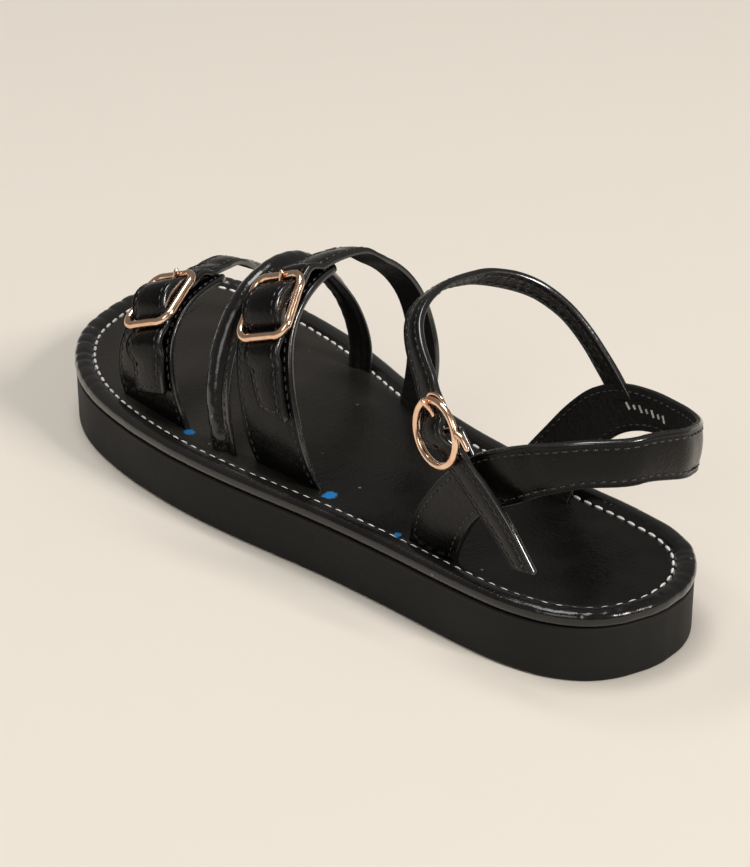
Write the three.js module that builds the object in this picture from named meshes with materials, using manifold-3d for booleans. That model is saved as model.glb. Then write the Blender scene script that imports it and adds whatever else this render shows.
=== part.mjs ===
// Left gladiator sandal: platform sole, leather footbed, toe and instep straps with
// rectangular buckles, a rolled strap between them, heel sling and ankle strap.
// Millimetres. +X to the toe, +Y to the outer side, +Z up, the ground at z = 0.
import * as THREE from "three";
import { mergeVertices } from "three/addons/utils/BufferGeometryUtils.js";
import Module from "manifold-3d";

const wasm = await Module();
wasm.setup();

// ---------------------------------------------------------------- driving dimensions
const SOLE_HEIGHT = 16.8;        // straight wall of the platform
const SOLE_EDGE = 0.8;           // small chamfer round the bottom of the wall
const JOINT_GAP = 0.3;           // clearance between neighbouring pieces
const FOOTBED_TOP = 20.0;        // footbed surface beside the stitching
const RIM_RISE = 1.7;            // rolled edge above the stitching
const RIM_WIDTH = 5.6;           // rolled edge from the wall to the stitching
const RIM_PROUD = 0.5;           // rolled edge outside the platform's wall
const HEEL_DISH = 0.9;           // hollow under the heel
const TOE_RISE = 2.0;            // lift of the footbed at the toe tip
const LEATHER = 2.0;             // thickness of a lined strap
const ANCHOR_LEATHER = 1.8;      // thickness of the pieces under the buckles
const LAYER_GAP = 0.45;          // between straps that lie on each other
const SLOT_DEPTH = 1.6;          // straps sink this far into the footbed
const SLOT_CLEARANCE = 0.3;
const TUBE_WIDTH = 7.0;          // rolled strap, across
const TUBE_THICK = 5.0;          // rolled strap, through
const BUCKLE_WIDTH = 21.5;       // rectangular frame, across the strap
const BUCKLE_LENGTH = 22.4;      // rectangular frame, along the strap
const BUCKLE_WIRE = 2.6;
const BUCKLE_CORNER = 5.0;       // clipped corners
const PRONG_WIRE = 1.5;
const RING_DIAMETER = 20.4;      // round ankle buckle, outside
const RING_WIRE = 2.1;
const ANKLE_WIDTH = 9.2;         // ankle strap

// half-widths of the sole at stations along it: outer side and inner side
const SOLE_OUTLINE = [
  { x: -126.0, outer: 4.0, inner: -2.0 },
  { x: -124.2, outer: 12.6, inner: -10.4 },
  { x: -120, outer: 20.6, inner: -18.2 },
  { x: -114, outer: 26.2, inner: -24.4 },
  { x: -108, outer: 29.7, inner: -28.1 },
  { x: -96, outer: 33.6, inner: -30.6 },
  { x: -84, outer: 35.5, inner: -30.5 },
  { x: -72, outer: 36.8, inner: -29.5 },
  { x: -60, outer: 37.9, inner: -28.4 },
  { x: -48, outer: 39.2, inner: -27.6 },
  { x: -36, outer: 40.7, inner: -27.2 },
  { x: -24, outer: 42.6, inner: -27.2 },
  { x: -12, outer: 44.8, inner: -27.8 },
  { x: 0, outer: 47.0, inner: -29.0 },
  { x: 12, outer: 48.9, inner: -30.8 },
  { x: 24, outer: 50.3, inner: -33.2 },
  { x: 36, outer: 51.1, inner: -35.7 },
  { x: 48, outer: 51.2, inner: -37.8 },
  { x: 60, outer: 50.5, inner: -39.2 },
  { x: 72, outer: 49.0, inner: -39.7 },
  { x: 84, outer: 46.1, inner: -39.4 },
  { x: 96, outer: 41.0, inner: -38.2 },
  { x: 108, outer: 32.4, inner: -36.3 },
  { x: 115, outer: 24.4, inner: -34.0 },
  { x: 120, outer: 14.8, inner: -30.5 },
  { x: 124.2, outer: 3.6, inner: -22.4 },
  { x: 126.0, outer: -5.0, inner: -13.0 },
];

// the foot form inside the front straps: foot and widest point of each side, and the top
const FORM = [
  { x: 92, outFoot: 30.0, outWide: 32.0, outHigh: 26, topAt: 3, top: 48.0,
    inWide: -27.0, inHigh: 28, inFoot: -29.5 },
  { x: 78, outFoot: 36.5, outWide: 37.5, outHigh: 27, topAt: 4, top: 49.5,
    inWide: -26.0, inHigh: 28, inFoot: -27.0 },
  { x: 66, outFoot: 38.5, outWide: 40.0, outHigh: 28, topAt: 5, top: 52.0,
    inWide: -22.8, inHigh: 30, inFoot: -24.0 },
  { x: 50, outFoot: 38.8, outWide: 40.0, outHigh: 30, topAt: 5, top: 57.5,
    inWide: -23.0, inHigh: 32, inFoot: -25.0 },
  { x: 36, outFoot: 37.8, outWide: 39.4, outHigh: 32, topAt: 4, top: 63.5,
    inWide: -25.0, inHigh: 34, inFoot: -26.0 },
  { x: 18, outFoot: 35.0, outWide: 37.0, outHigh: 35, topAt: 2, top: 71.0,
    inWide: -26.5, inHigh: 40, inFoot: -23.0 },
  { x: 4, outFoot: 33.0, outWide: 35.5, outHigh: 36, topAt: 1, top: 75.5,
    inWide: -25.5, inHigh: 44, inFoot: -19.5 },
  { x: -8, outFoot: 31.0, outWide: 35.0, outHigh: 37, topAt: 2, top: 78.5,
    inWide: -24.0, inHigh: 44, inFoot: -16.5 },
  { x: -24, outFoot: 29.5, outWide: 34.5, outHigh: 38, topAt: 3, top: 81.0,
    inWide: -22.0, inHigh: 44, inFoot: -14.0 },
];

const COLORS = {
  rubber: 0x17161a, leather: 0x1b1919, lining: 0x2a2827, gold: 0xd9a487,
};

// ---------------------------------------------------------------- small helpers
const lerp = (a, b, t) => a + (b - a) * t;
const clamp = (v, a, b) => Math.min(b, Math.max(a, v));
const smooth = (t) => { const c = clamp(t, 0, 1); return c * c * (3 - 2 * c); };
const v3 = (x, y, z) => new THREE.Vector3(x, y, z);

// smooth reading of a table by its first column (monotone cubic, no overshoot)
function reader(rows, key) {
  const sorted = [...rows].sort((p, q) => p[key] - q[key]);
  const names = Object.keys(rows[0]).filter((n) => n !== key);
  const t = sorted.map((r) => r[key]);
  const n = t.length;
  const slopes = {};
  for (const name of names) {
    const d = [];
    for (let i = 0; i < n - 1; i++) {
      d.push((sorted[i + 1][name] - sorted[i][name]) / (t[i + 1] - t[i]));
    }
    const m = [d[0]];
    for (let i = 1; i < n - 1; i++) {
      m.push(d[i - 1] * d[i] <= 0 ? 0 : (2 * d[i - 1] * d[i]) / (d[i - 1] + d[i]));
    }
    m.push(d[n - 2]);
    slopes[name] = m;
  }
  return (q) => {
    const c = clamp(q, t[0], t[n - 1]);
    let i = 0;
    while (i < n - 2 && c > t[i + 1]) i++;
    const h = t[i + 1] - t[i];
    const s = (c - t[i]) / h;
    const out = {};
    for (const name of names) {
      const a = sorted[i][name], b = sorted[i + 1][name];
      const m0 = slopes[name][i] * h, m1 = slopes[name][i + 1] * h;
      out[name] = (2 * s ** 3 - 3 * s ** 2 + 1) * a + (s ** 3 - 2 * s ** 2 + s) * m0
        + (-2 * s ** 3 + 3 * s ** 2) * b + (s ** 3 - s ** 2) * m1;
    }
    return out;
  };
}

const formAt = reader(FORM, "x");

// point of the foot form: u = 0 at the outer foot of the section, 1 at the inner foot
const U_OUT = 0.14, U_TOP = 0.5, U_IN = 0.86;
const OUT_FULL = 2.5, IN_FULL = 2.1;     // fullness of the shoulders; 2 is an ellipse
const shoulder = (a, full) => {
  const k = (Math.abs(Math.cos(a)) ** full + Math.abs(Math.sin(a)) ** full) ** (-1 / full);
  return { across: Math.cos(a) * k, rise: Math.sin(a) * k };
};
function onForm(x, u) {
  const f = formAt(x);
  const low = FOOTBED_TOP - SLOT_DEPTH;
  if (u <= U_OUT) {
    const t = clamp(u / U_OUT, 0, 1);
    return v3(x, lerp(f.outFoot, f.outWide, Math.sin(t * Math.PI / 2)),
      lerp(low, f.outHigh, t));
  }
  if (u <= U_TOP) {
    const a = ((u - U_OUT) / (U_TOP - U_OUT)) * Math.PI / 2;
    const q = shoulder(a, OUT_FULL);
    return v3(x, f.topAt + (f.outWide - f.topAt) * q.across,
      f.outHigh + (f.top - f.outHigh) * q.rise);
  }
  if (u <= U_IN) {
    const a = ((U_IN - u) / (U_IN - U_TOP)) * Math.PI / 2;
    const q = shoulder(a, IN_FULL);
    return v3(x, f.topAt + (f.inWide - f.topAt) * q.across,
      f.inHigh + (f.top - f.inHigh) * q.rise);
  }
  const t = clamp((1 - u) / (1 - U_IN), 0, 1);
  return v3(x, lerp(f.inFoot, f.inWide, Math.sin(t * Math.PI / 2)),
    lerp(low, f.inHigh, t));
}
function formNormal(x, u) {
  const e = 0.012;
  const a = onForm(x, clamp(u + e, 0, 1)).sub(onForm(x, clamp(u - e, 0, 1)));
  const b = onForm(x + 1, u).sub(onForm(x - 1, u));
  return b.cross(a).negate().normalize();
}

// closed loft through rings of points, capped at both ends
function loft(rings) {
  const n = rings[0].length;
  const pos = [], idx = [];
  rings.forEach((r) => r.forEach((p) => pos.push(p.x, p.y, p.z)));
  for (let i = 0; i < rings.length - 1; i++) {
    for (let j = 0; j < n; j++) {
      const a = i * n + j, b = i * n + ((j + 1) % n);
      idx.push(a, b, b + n, a, b + n, a + n);
    }
  }
  const cap = (start, flip) => {
    const c = v3(0, 0, 0);
    for (let j = 0; j < n; j++) c.add(v3(...pos.slice((start + j) * 3, (start + j) * 3 + 3)));
    c.multiplyScalar(1 / n);
    const k = pos.length / 3;
    pos.push(c.x, c.y, c.z);
    for (let j = 0; j < n; j++) {
      const a = start + j, b = start + ((j + 1) % n);
      if (flip) idx.push(k, a, b); else idx.push(k, b, a);
    }
  };
  cap(0, false);
  cap((rings.length - 1) * n, true);
  const g = new THREE.BufferGeometry();
  g.setAttribute("position", new THREE.Float32BufferAttribute(pos, 3));
  g.setIndex(idx);
  return outward(g);
}

// flip a closed geometry whose volume comes out negative
function outward(g) {
  const p = g.getAttribute("position"), ix = g.getIndex().array;
  let vol = 0;
  const a = v3(0, 0, 0), b = v3(0, 0, 0), c = v3(0, 0, 0);
  for (let i = 0; i < ix.length; i += 3) {
    a.fromBufferAttribute(p, ix[i]);
    b.fromBufferAttribute(p, ix[i + 1]);
    c.fromBufferAttribute(p, ix[i + 2]);
    vol += a.dot(b.cross(c));
  }
  if (vol < 0) {
    for (let i = 0; i < ix.length; i += 3) [ix[i], ix[i + 1]] = [ix[i + 1], ix[i]];
  }
  g.computeVertexNormals();
  return g;
}

function solidOf(g) {
  const k = g.clone();
  k.deleteAttribute("normal");
  k.deleteAttribute("uv");
  const m = mergeVertices(k, 1e-4);
  return new wasm.Manifold(new wasm.Mesh({
    numProp: 3,
    vertProperties: new Float32Array(m.getAttribute("position").array),
    triVerts: new Uint32Array(m.getIndex().array),
  }));
}
function geometryOf(solid) {
  const m = solid.getMesh();
  const g = new THREE.BufferGeometry();
  g.setAttribute("position", new THREE.BufferAttribute(new Float32Array(m.vertProperties), 3));
  g.setIndex(new THREE.BufferAttribute(new Uint32Array(m.triVerts), 1));
  g.computeVertexNormals();
  return g;
}
const cut = (g, tools) => geometryOf(tools.reduce((s, t) => s.subtract(solidOf(t)), solidOf(g)));
const join = (gs) => geometryOf(gs.map(solidOf).reduce((s, t) => s.add(t)));

// rounded-edge section of a strap between two edge points, offset along its normal
function strapRing(a, b, normal, inside, outside) {
  const across = b.clone().sub(a);
  const w = across.length();
  across.normalize();
  const e = Math.min(0.6, (outside - inside) * 0.3);
  const at = (s, h) => a.clone().addScaledVector(across, s).addScaledVector(normal, h);
  return [
    at(e, inside), at(w - e, inside), at(w, inside + e), at(w, outside - e),
    at(w - e, outside), at(e, outside), at(0, outside - e), at(0, inside + e),
  ];
}

// strap from rows of { front, rear, normal, inside, outside }
const strap = (rows) => loft(rows.map((r) =>
  strapRing(r.front, r.rear, r.normal, r.inside, r.outside)));

// rows of a strap lying on the foot form; table columns: u, front and rear (x of each
// edge) and skew (how much further round the form the rear edge is)
function rowsOnForm(table, u0, u1, steps, liftOf, thickness) {
  const edge = reader(table, "u");
  const rows = [];
  for (let i = 0; i <= steps; i++) {
    const u = lerp(u0, u1, i / steps);
    const e = edge(u);
    const front = onForm(e.front, clamp(u - e.skew / 2, 0, 1));
    const rear = onForm(e.rear, clamp(u + e.skew / 2, 0, 1));
    const normal = formNormal((e.front + e.rear) / 2, u);
    const lift = liftOf ? liftOf(u, front, rear) : 0;
    rows.push({ front, rear, normal, inside: lift, outside: lift + thickness, u });
  }
  return rows;
}

// ---------------------------------------------------------------- sole and footbed
const soleAt = reader(SOLE_OUTLINE, "x");
// closed outline, moved inwards by the inset, counter-clockwise from the heel tip
function soleLoop(inset, count = 76) {
  const pts = [];
  const raw = [];
  const n = 240;
  for (let i = 0; i <= n; i++) {
    const x = -126 * Math.cos((Math.PI * i) / n);
    raw.push(new THREE.Vector2(x, soleAt(x).inner));
  }
  for (let i = n; i >= 0; i--) {
    const x = -126 * Math.cos((Math.PI * i) / n);
    raw.push(new THREE.Vector2(x, soleAt(x).outer));
  }
  const curve = new THREE.CatmullRomCurve3(
    raw.filter((_, i) => i % 4 === 0).map((p) => v3(p.x, p.y, 0)), true, "centripetal");
  for (let i = 0; i < count; i++) {
    const p = curve.getPointAt(i / count), t = curve.getTangentAt(i / count);
    pts.push(v3(p.x - t.y * inset, p.y + t.x * inset, 0));
  }
  return pts;
}
const ring = (inset, zOf, count) => soleLoop(inset, count).map((p) =>
  v3(p.x, p.y, typeof zOf === "function" ? zOf(p.x, p.y) : zOf));

// height of the footbed surface: a shallow hollow at the heel, a lift at the toe
function bedHeight(x, y) {
  const dish = HEEL_DISH * Math.exp(-(((x + 84) / 30) ** 2) - ((y / 19) ** 2));
  const toe = TOE_RISE * smooth((x - 60) / 66);
  return FOOTBED_TOP + toe - dish;
}

const outsoleShape = loft([
  ring(SOLE_EDGE, 0), ring(0, SOLE_EDGE), ring(0, SOLE_HEIGHT - 0.4),
  ring(0.4, SOLE_HEIGHT),
]);

const bedUnder = SOLE_HEIGHT + JOINT_GAP;
const bedCount = 76;
const rimRow = (inset, rise) => ring(inset, (x, y) => bedHeight(x, y) + rise, bedCount);
const footbedBlank = loft([
  ring(0.6, bedUnder, bedCount),
  ring(-RIM_PROUD, bedUnder + 1.0, bedCount),
  rimRow(-RIM_PROUD, 0.4),
  rimRow(0.6, RIM_RISE - 0.4),
  rimRow(2.2, RIM_RISE),
  rimRow(4.2, RIM_RISE - 0.6),
  rimRow(RIM_WIDTH, 0),
  rimRow(12, 0),
  rimRow(19, 0),
]);

// slot where a strap enters the footbed: the strap's own foot, grown by the clearance
function slot(rows) {
  const c = SLOT_CLEARANCE;
  const foot = [];
  for (const r of rows) {
    foot.push(r);
    if (Math.min(r.front.z, r.rear.z) > FOOTBED_TOP + 4) break;
  }
  const rings = foot.map((r) => {
    const across = r.rear.clone().sub(r.front).normalize().multiplyScalar(c);
    return strapRing(r.front.clone().sub(across), r.rear.clone().add(across), r.normal,
      r.inside - c, r.outside + c);
  });
  rings.unshift(rings[0].map((p) => p.clone().setZ(p.z - c)));
  return loft(rings);
}

// ---------------------------------------------------------------- front straps
const TOE_BUCKLE = { x: 58.6, u: 0.334 };
const INSTEP_BUCKLE = { x: 6.0, u: 0.325 };

// straps from the inner side, over the top, through the buckle to the hanging end
const TOE_STRAP = [
  { u: 1.00, front: 84.3, rear: 74.6, skew: 0 },
  { u: 0.86, front: 83.2, rear: 72.6, skew: 0 },
  { u: 0.70, front: 80.0, rear: 68.8, skew: 0 },
  { u: 0.55, front: 75.4, rear: 62.8, skew: 0.008 },
  { u: 0.43, front: 69.8, rear: 56.0, skew: 0.016 },
  { u: 0.342, front: 66.0, rear: 52.2, skew: 0.02 },
  { u: 0.23, front: 60.8, rear: 46.6, skew: 0.024 },
  { u: 0.12, front: 57.4, rear: 43.6, skew: 0.026 },
];
const TOE_TAB_END = 0.125;
const INSTEP_STRAP = [
  { u: 1.00, front: 11.0, rear: -5.3, skew: 0 },
  { u: 0.90, front: 12.6, rear: -3.0, skew: 0 },
  { u: 0.78, front: 15.0, rear: 1.6, skew: 0 },
  { u: 0.62, front: 17.4, rear: 4.8, skew: 0 },
  { u: 0.50, front: 17.8, rear: 4.8, skew: 0.006 },
  { u: 0.40, front: 15.8, rear: 2.8, skew: 0.012 },
  { u: 0.32, front: 12.6, rear: -0.8, skew: 0.016 },
  { u: 0.24, front: 8.0, rear: -5.0, skew: 0.012 },
  { u: 0.165, front: 2.4, rear: -10.6, skew: -0.01 },
];
const INSTEP_TAB_END = 0.165;
// pieces that rise from the outer side and run on under the straps
const TOE_ANCHOR = [
  { u: 0.00, front: 69.8, rear: 37.9, skew: 0 },
  { u: 0.05, front: 71.0, rear: 38.6, skew: 0 },
  { u: 0.14, front: 72.6, rear: 41.0, skew: 0 },
  { u: 0.22, front: 73.4, rear: 44.2, skew: 0.004 },
  { u: 0.30, front: 72.4, rear: 48.0, skew: 0.01 },
  { u: 0.38, front: 70.4, rear: 51.6, skew: 0.014 },
  { u: 0.47, front: 66.8, rear: 55.4, skew: 0.014 },
];
const INSTEP_ANCHOR = [
  { u: 0.00, front: 8.2, rear: -18.0, skew: 0 },
  { u: 0.06, front: 10.6, rear: -16.4, skew: 0 },
  { u: 0.14, front: 12.6, rear: -13.6, skew: 0 },
  { u: 0.22, front: 15.6, rear: -8.6, skew: 0.004 },
  { u: 0.30, front: 18.8, rear: -3.2, skew: 0.008 },
  { u: 0.38, front: 19.4, rear: 0.8, skew: 0.01 },
  { u: 0.47, front: 17.2, rear: 5.0, skew: 0.01 },
];

const STACK = ANCHOR_LEATHER + LAYER_GAP;   // lift of a strap above its anchor piece
const BAR_DROP = 0.9;        // the centre bar sits below the frame's plane
const BAR_RADIUS = 0.8;
const HUMP_REACH = 4.8;      // half-length of a strap's hump over the centre bar
const RING_HUMP_REACH = 3.7; // the same inside the round buckle
const THREAD_GAP = 0.65;     // between a threaded strap and the frame over it

// lift along a buckled strap: down on the form on the inner side, up on the anchor
const stackLift = (innerEnd) => (u) => (STACK + 0.1) * smooth((innerEnd - u) / 0.09);

// height of a threaded strap's inner face above the frame's plane
function humpHeight(d, radius, thickness, hump) {
  const low = -radius - THREAD_GAP - thickness;
  const high = -BAR_DROP + BAR_RADIUS + LAYER_GAP;
  return low + (high - low) * Math.exp(-((d / hump) ** 2));
}

// where a buckle sits: on the strap's two edges, clear of the anchor piece beneath
function seatOn(table, buckle, width, length, radius) {
  const edge = reader(table, "u");
  const e = edge(buckle.u);
  const at = (u) => {
    const q = edge(u);
    return onForm((q.front + q.rear) / 2, u);
  };
  const centre = at(buckle.u);
  const widthDir = onForm(e.front, buckle.u - e.skew / 2)
    .sub(onForm(e.rear, buckle.u + e.skew / 2)).normalize();
  const reach = length / 2 - radius;
  let up = buckle.u, down = buckle.u;
  while (at(up).distanceTo(centre) < reach) up += 0.001;
  while (at(down).distanceTo(centre) < reach) down -= 0.001;
  const alongDir = at(up).sub(at(down)).normalize();
  alongDir.addScaledVector(widthDir, -alongDir.dot(widthDir)).normalize();
  const normal = widthDir.clone().cross(alongDir).normalize();
  if (normal.dot(formNormal(buckle.x, buckle.u)) < 0) normal.negate();
  let rise = -1e9;
  for (let i = -8; i <= 8; i++) {
    for (let j = -8; j <= 8; j++) {
      const x = buckle.x + (i / 8) * (width / 2), u = buckle.u + (j / 8) * (up - buckle.u);
      const p = onForm(x, u).addScaledVector(formNormal(x, u), ANCHOR_LEATHER).sub(centre);
      const h = p.dot(normal), a = Math.abs(p.dot(alongDir));
      if (a > reach + radius) continue;
      const underBar = a < 1.5 ? BAR_DROP + BAR_RADIUS : radius;
      rise = Math.max(rise, h + LAYER_GAP + underBar,
        h + LAYER_GAP - humpHeight(a, radius, LEATHER, HUMP_REACH));
    }
  }
  const origin = centre.clone().addScaledVector(normal, rise);
  return { origin, widthDir, alongDir, normal, reach, radius, hump: HUMP_REACH };
}

// push a strap's rows so it passes under the frame's ends and over its centre bar
function threadThrough(rows, seat, thickness) {
  const moved = rows.map((r) => {
    const edgeOf = (p0) => {
      const p = p0.clone().addScaledVector(r.normal, r.inside);
      const q = p.clone().sub(seat.origin);
      const d = q.dot(seat.alongDir);
      if (q.length() > seat.reach + 16) return p;
      const w = 1 - smooth((Math.abs(d) - seat.reach - 1.2) / 5);
      const target = humpHeight(d, seat.radius, thickness, seat.hump);
      return p.addScaledVector(r.normal,
        (w * (target - q.dot(seat.normal))) / r.normal.dot(seat.normal));
    };
    return { ...r, front: edgeOf(r.front), rear: edgeOf(r.rear),
      inside: 0, outside: r.outside - r.inside };
  });
  const mid = (r) => r.front.clone().add(r.rear).multiplyScalar(0.5);
  return moved.map((r, i) => {
    const a = mid(moved[Math.max(0, i - 1)]), b = mid(moved[Math.min(moved.length - 1, i + 1)]);
    const n = b.sub(a).cross(r.rear.clone().sub(r.front)).normalize();
    if (n.dot(r.normal) < 0) n.negate();
    return { ...r, normal: n };
  });
}

const toeSeat = seatOn(TOE_STRAP, TOE_BUCKLE, BUCKLE_WIDTH, BUCKLE_LENGTH, BUCKLE_WIRE / 2);
const instepSeat = seatOn(INSTEP_STRAP, INSTEP_BUCKLE, BUCKLE_WIDTH, BUCKLE_LENGTH,
  BUCKLE_WIRE / 2);
const toeRows = threadThrough(
  rowsOnForm(TOE_STRAP, 1.0, TOE_TAB_END, 50, stackLift(0.61), LEATHER), toeSeat, LEATHER);
const instepRows = threadThrough(
  rowsOnForm(INSTEP_STRAP, 1.0, INSTEP_TAB_END, 52, stackLift(0.62), LEATHER),
  instepSeat, LEATHER);
const toeAnchorRows = rowsOnForm(TOE_ANCHOR, 0.0, 0.47, 26, null, ANCHOR_LEATHER);
const instepAnchorRows = rowsOnForm(INSTEP_ANCHOR, 0.0, 0.47, 28, null, ANCHOR_LEATHER);

// rolled strap: an oval section along its own curve
const TUBE_PATH = [
  { x: 39.2, y: -28.4, z: 18.6 }, { x: 40.0, y: -29.0, z: 30 },
  { x: 41.0, y: -25.0, z: 43.5 }, { x: 40.0, y: -16.0, z: 55.5 },
  { x: 36.6, y: -4.0, z: 64.6 }, { x: 33.4, y: 8.0, z: 66.8 },
  { x: 31.6, y: 20.0, z: 62.4 }, { x: 29.6, y: 30.0, z: 51.6 },
  { x: 26.0, y: 36.6, z: 37.6 }, { x: 22.0, y: 38.6, z: 25.0 },
  { x: 20.8, y: 38.4, z: 18.6 },
];
function ovalTube(path, wide, thick, steps, sides) {
  const curve = new THREE.CatmullRomCurve3(path.map((p) => v3(p.x, p.y, p.z)), false,
    "centripetal");
  const middle = v3(0, 4, 30);
  const rings = [];
  for (let i = 0; i <= steps; i++) {
    const p = curve.getPointAt(i / steps), t = curve.getTangentAt(i / steps);
    const out = p.clone().sub(middle).setX(0);
    out.addScaledVector(t, -out.dot(t)).normalize();
    const side = t.clone().cross(out).normalize();
    const r = [];
    for (let k = 0; k < sides; k++) {
      const a = (2 * Math.PI * k) / sides;
      r.push(p.clone().addScaledVector(side, (wide / 2) * Math.cos(a))
        .addScaledVector(out, (thick / 2) * Math.sin(a)));
    }
    rings.push(r);
  }
  return loft(rings);
}
const tubeShape = ovalTube(TUBE_PATH, TUBE_WIDTH, TUBE_THICK, 38, 10);

// ---------------------------------------------------------------- heel and ankle
// outer faces of the heel piece: legs at both sides and the sling round the heel
const HEEL_TOP_EDGE = [
  { s: 0.00, x: -43.0, y: -16.9, z: 18.4 }, { s: 0.05, x: -46.4, y: -21.6, z: 26.0 },
  { s: 0.10, x: -51.6, y: -26.8, z: 35.5 }, { s: 0.15, x: -57.8, y: -29.4, z: 44.5 },
  { s: 0.21, x: -67.0, y: -30.6, z: 53.2 }, { s: 0.27, x: -78.6, y: -30.8, z: 58.6 },
  { s: 0.33, x: -90.0, y: -30.4, z: 60.8 }, { s: 0.39, x: -102.0, y: -28.8, z: 62.0 },
  { s: 0.45, x: -113.0, y: -24.4, z: 64.0 }, { s: 0.50, x: -121.4, y: -16.0, z: 67.4 },
  { s: 0.55, x: -126.2, y: -4.0, z: 71.0 }, { s: 0.60, x: -125.4, y: 9.0, z: 73.0 },
  { s: 0.66, x: -118.4, y: 20.8, z: 72.6 }, { s: 0.72, x: -107.0, y: 28.4, z: 69.6 },
  { s: 0.78, x: -95.0, y: 31.0, z: 64.8 }, { s: 0.84, x: -83.0, y: 32.0, z: 58.0 },
  { s: 0.89, x: -72.4, y: 31.8, z: 48.6 }, { s: 0.94, x: -63.4, y: 31.6, z: 37.6 },
  { s: 0.97, x: -58.0, y: 31.3, z: 28.4 }, { s: 1.00, x: -55.6, y: 30.9, z: 18.4 },
];
const HEEL_LOW_EDGE = [
  { s: 0.00, x: -68.4, y: -19.4, z: 18.4 }, { s: 0.05, x: -69.4, y: -22.0, z: 25.4 },
  { s: 0.10, x: -71.6, y: -25.8, z: 33.0 }, { s: 0.15, x: -75.4, y: -28.6, z: 39.6 },
  { s: 0.21, x: -81.4, y: -30.0, z: 44.6 }, { s: 0.27, x: -88.4, y: -30.4, z: 47.6 },
  { s: 0.33, x: -96.0, y: -29.8, z: 49.2 }, { s: 0.39, x: -104.6, y: -27.8, z: 48.6 },
  { s: 0.45, x: -113.8, y: -23.2, z: 49.6 }, { s: 0.50, x: -121.2, y: -15.2, z: 52.2 },
  { s: 0.55, x: -125.4, y: -4.0, z: 56.0 }, { s: 0.60, x: -124.8, y: 8.6, z: 58.8 },
  { s: 0.66, x: -118.0, y: 19.6, z: 58.4 }, { s: 0.72, x: -107.8, y: 27.0, z: 54.4 },
  { s: 0.78, x: -98.6, y: 30.2, z: 48.8 }, { s: 0.84, x: -89.8, y: 31.0, z: 43.4 },
  { s: 0.89, x: -83.4, y: 30.9, z: 37.6 }, { s: 0.94, x: -78.6, y: 30.4, z: 30.2 },
  { s: 0.97, x: -75.2, y: 29.6, z: 24.0 }, { s: 1.00, x: -73.2, y: 29.0, z: 18.4 },
];
// ankle strap, outer face, from the inner junction over the top to the pointed end
const ANKLE_REAR_EDGE = [
  { s: 0.00, x: -83.0, y: -30.2, z: 54.6 }, { s: 0.06, x: -77.0, y: -30.2, z: 60.6 },
  { s: 0.13, x: -69.4, y: -29.4, z: 68.2 }, { s: 0.20, x: -60.8, y: -26.8, z: 76.8 },
  { s: 0.27, x: -52.8, y: -21.8, z: 83.4 }, { s: 0.34, x: -47.6, y: -13.4, z: 87.9 },
  { s: 0.41, x: -45.4, y: -4.0, z: 90.0 }, { s: 0.48, x: -45.8, y: 6.4, z: 90.6 },
  { s: 0.55, x: -48.4, y: 16.4, z: 89.6 }, { s: 0.61, x: -52.6, y: 24.4, z: 86.4 },
  { s: 0.66, x: -59.8, y: 29.8, z: 81.6 }, { s: 0.71, x: -69.0, y: 33.0, z: 75.0 },
  { s: 0.76, x: -75.8, y: 34.6, z: 68.2 },
  { s: 0.81, x: -82.2, y: 35.4, z: 61.2 }, { s: 0.87, x: -91.2, y: 36.1, z: 55.5 },
  { s: 0.94, x: -102.6, y: 36.3, z: 47.4 }, { s: 1.00, x: -113.0, y: 35.6, z: 35.6 },
];
const ANKLE_FRONT_EDGE = [
  { s: 0.00, x: -74.0, y: -30.2, z: 51.4 }, { s: 0.06, x: -69.8, y: -31.4, z: 55.4 },
  { s: 0.13, x: -62.8, y: -31.6, z: 61.8 }, { s: 0.20, x: -54.6, y: -29.8, z: 69.8 },
  { s: 0.27, x: -46.8, y: -25.2, z: 75.8 }, { s: 0.34, x: -41.2, y: -15.6, z: 80.6 },
  { s: 0.41, x: -38.4, y: -4.0, z: 84.0 }, { s: 0.48, x: -38.6, y: 6.4, z: 85.2 },
  { s: 0.55, x: -41.2, y: 16.6, z: 84.6 }, { s: 0.61, x: -45.8, y: 24.6, z: 81.8 },
  { s: 0.66, x: -52.4, y: 29.6, z: 77.0 }, { s: 0.71, x: -60.2, y: 32.6, z: 70.4 },
  { s: 0.76, x: -66.6, y: 34.0, z: 63.4 },
  { s: 0.81, x: -74.2, y: 34.8, z: 56.0 }, { s: 0.87, x: -84.2, y: 35.4, z: 48.0 },
  { s: 0.94, x: -95.8, y: 35.6, z: 40.4 }, { s: 1.00, x: -103.6, y: 35.2, z: 33.4 },
];

// band between two edge tables; the tables give the outer face
function rowsBetween(frontTable, rearTable, s0, s1, steps, side, lift, thickness) {
  const curveOf = (tbl) => {
    const read = reader(tbl, "s");
    return (s) => { const p = read(s); return v3(p.x, p.y, p.z); };
  };
  const f = curveOf(frontTable), r = curveOf(rearTable);
  const rows = [];
  for (let i = 0; i <= steps; i++) {
    const s = lerp(s0, s1, i / steps);
    const e = 0.012;
    const s2 = Math.min(1, s + e), s1b = Math.max(0, s - e);
    const along = f(s2).add(r(s2)).sub(f(s1b)).sub(r(s1b)).normalize();
    const front = f(s), rear = r(s);
    const normal = along.cross(rear.clone().sub(front)).multiplyScalar(side).normalize();
    const up = lift ? lift(s) : 0;
    rows.push({ front, rear, normal, inside: up - thickness, outside: up, s });
  }
  return rows;
}

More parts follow.
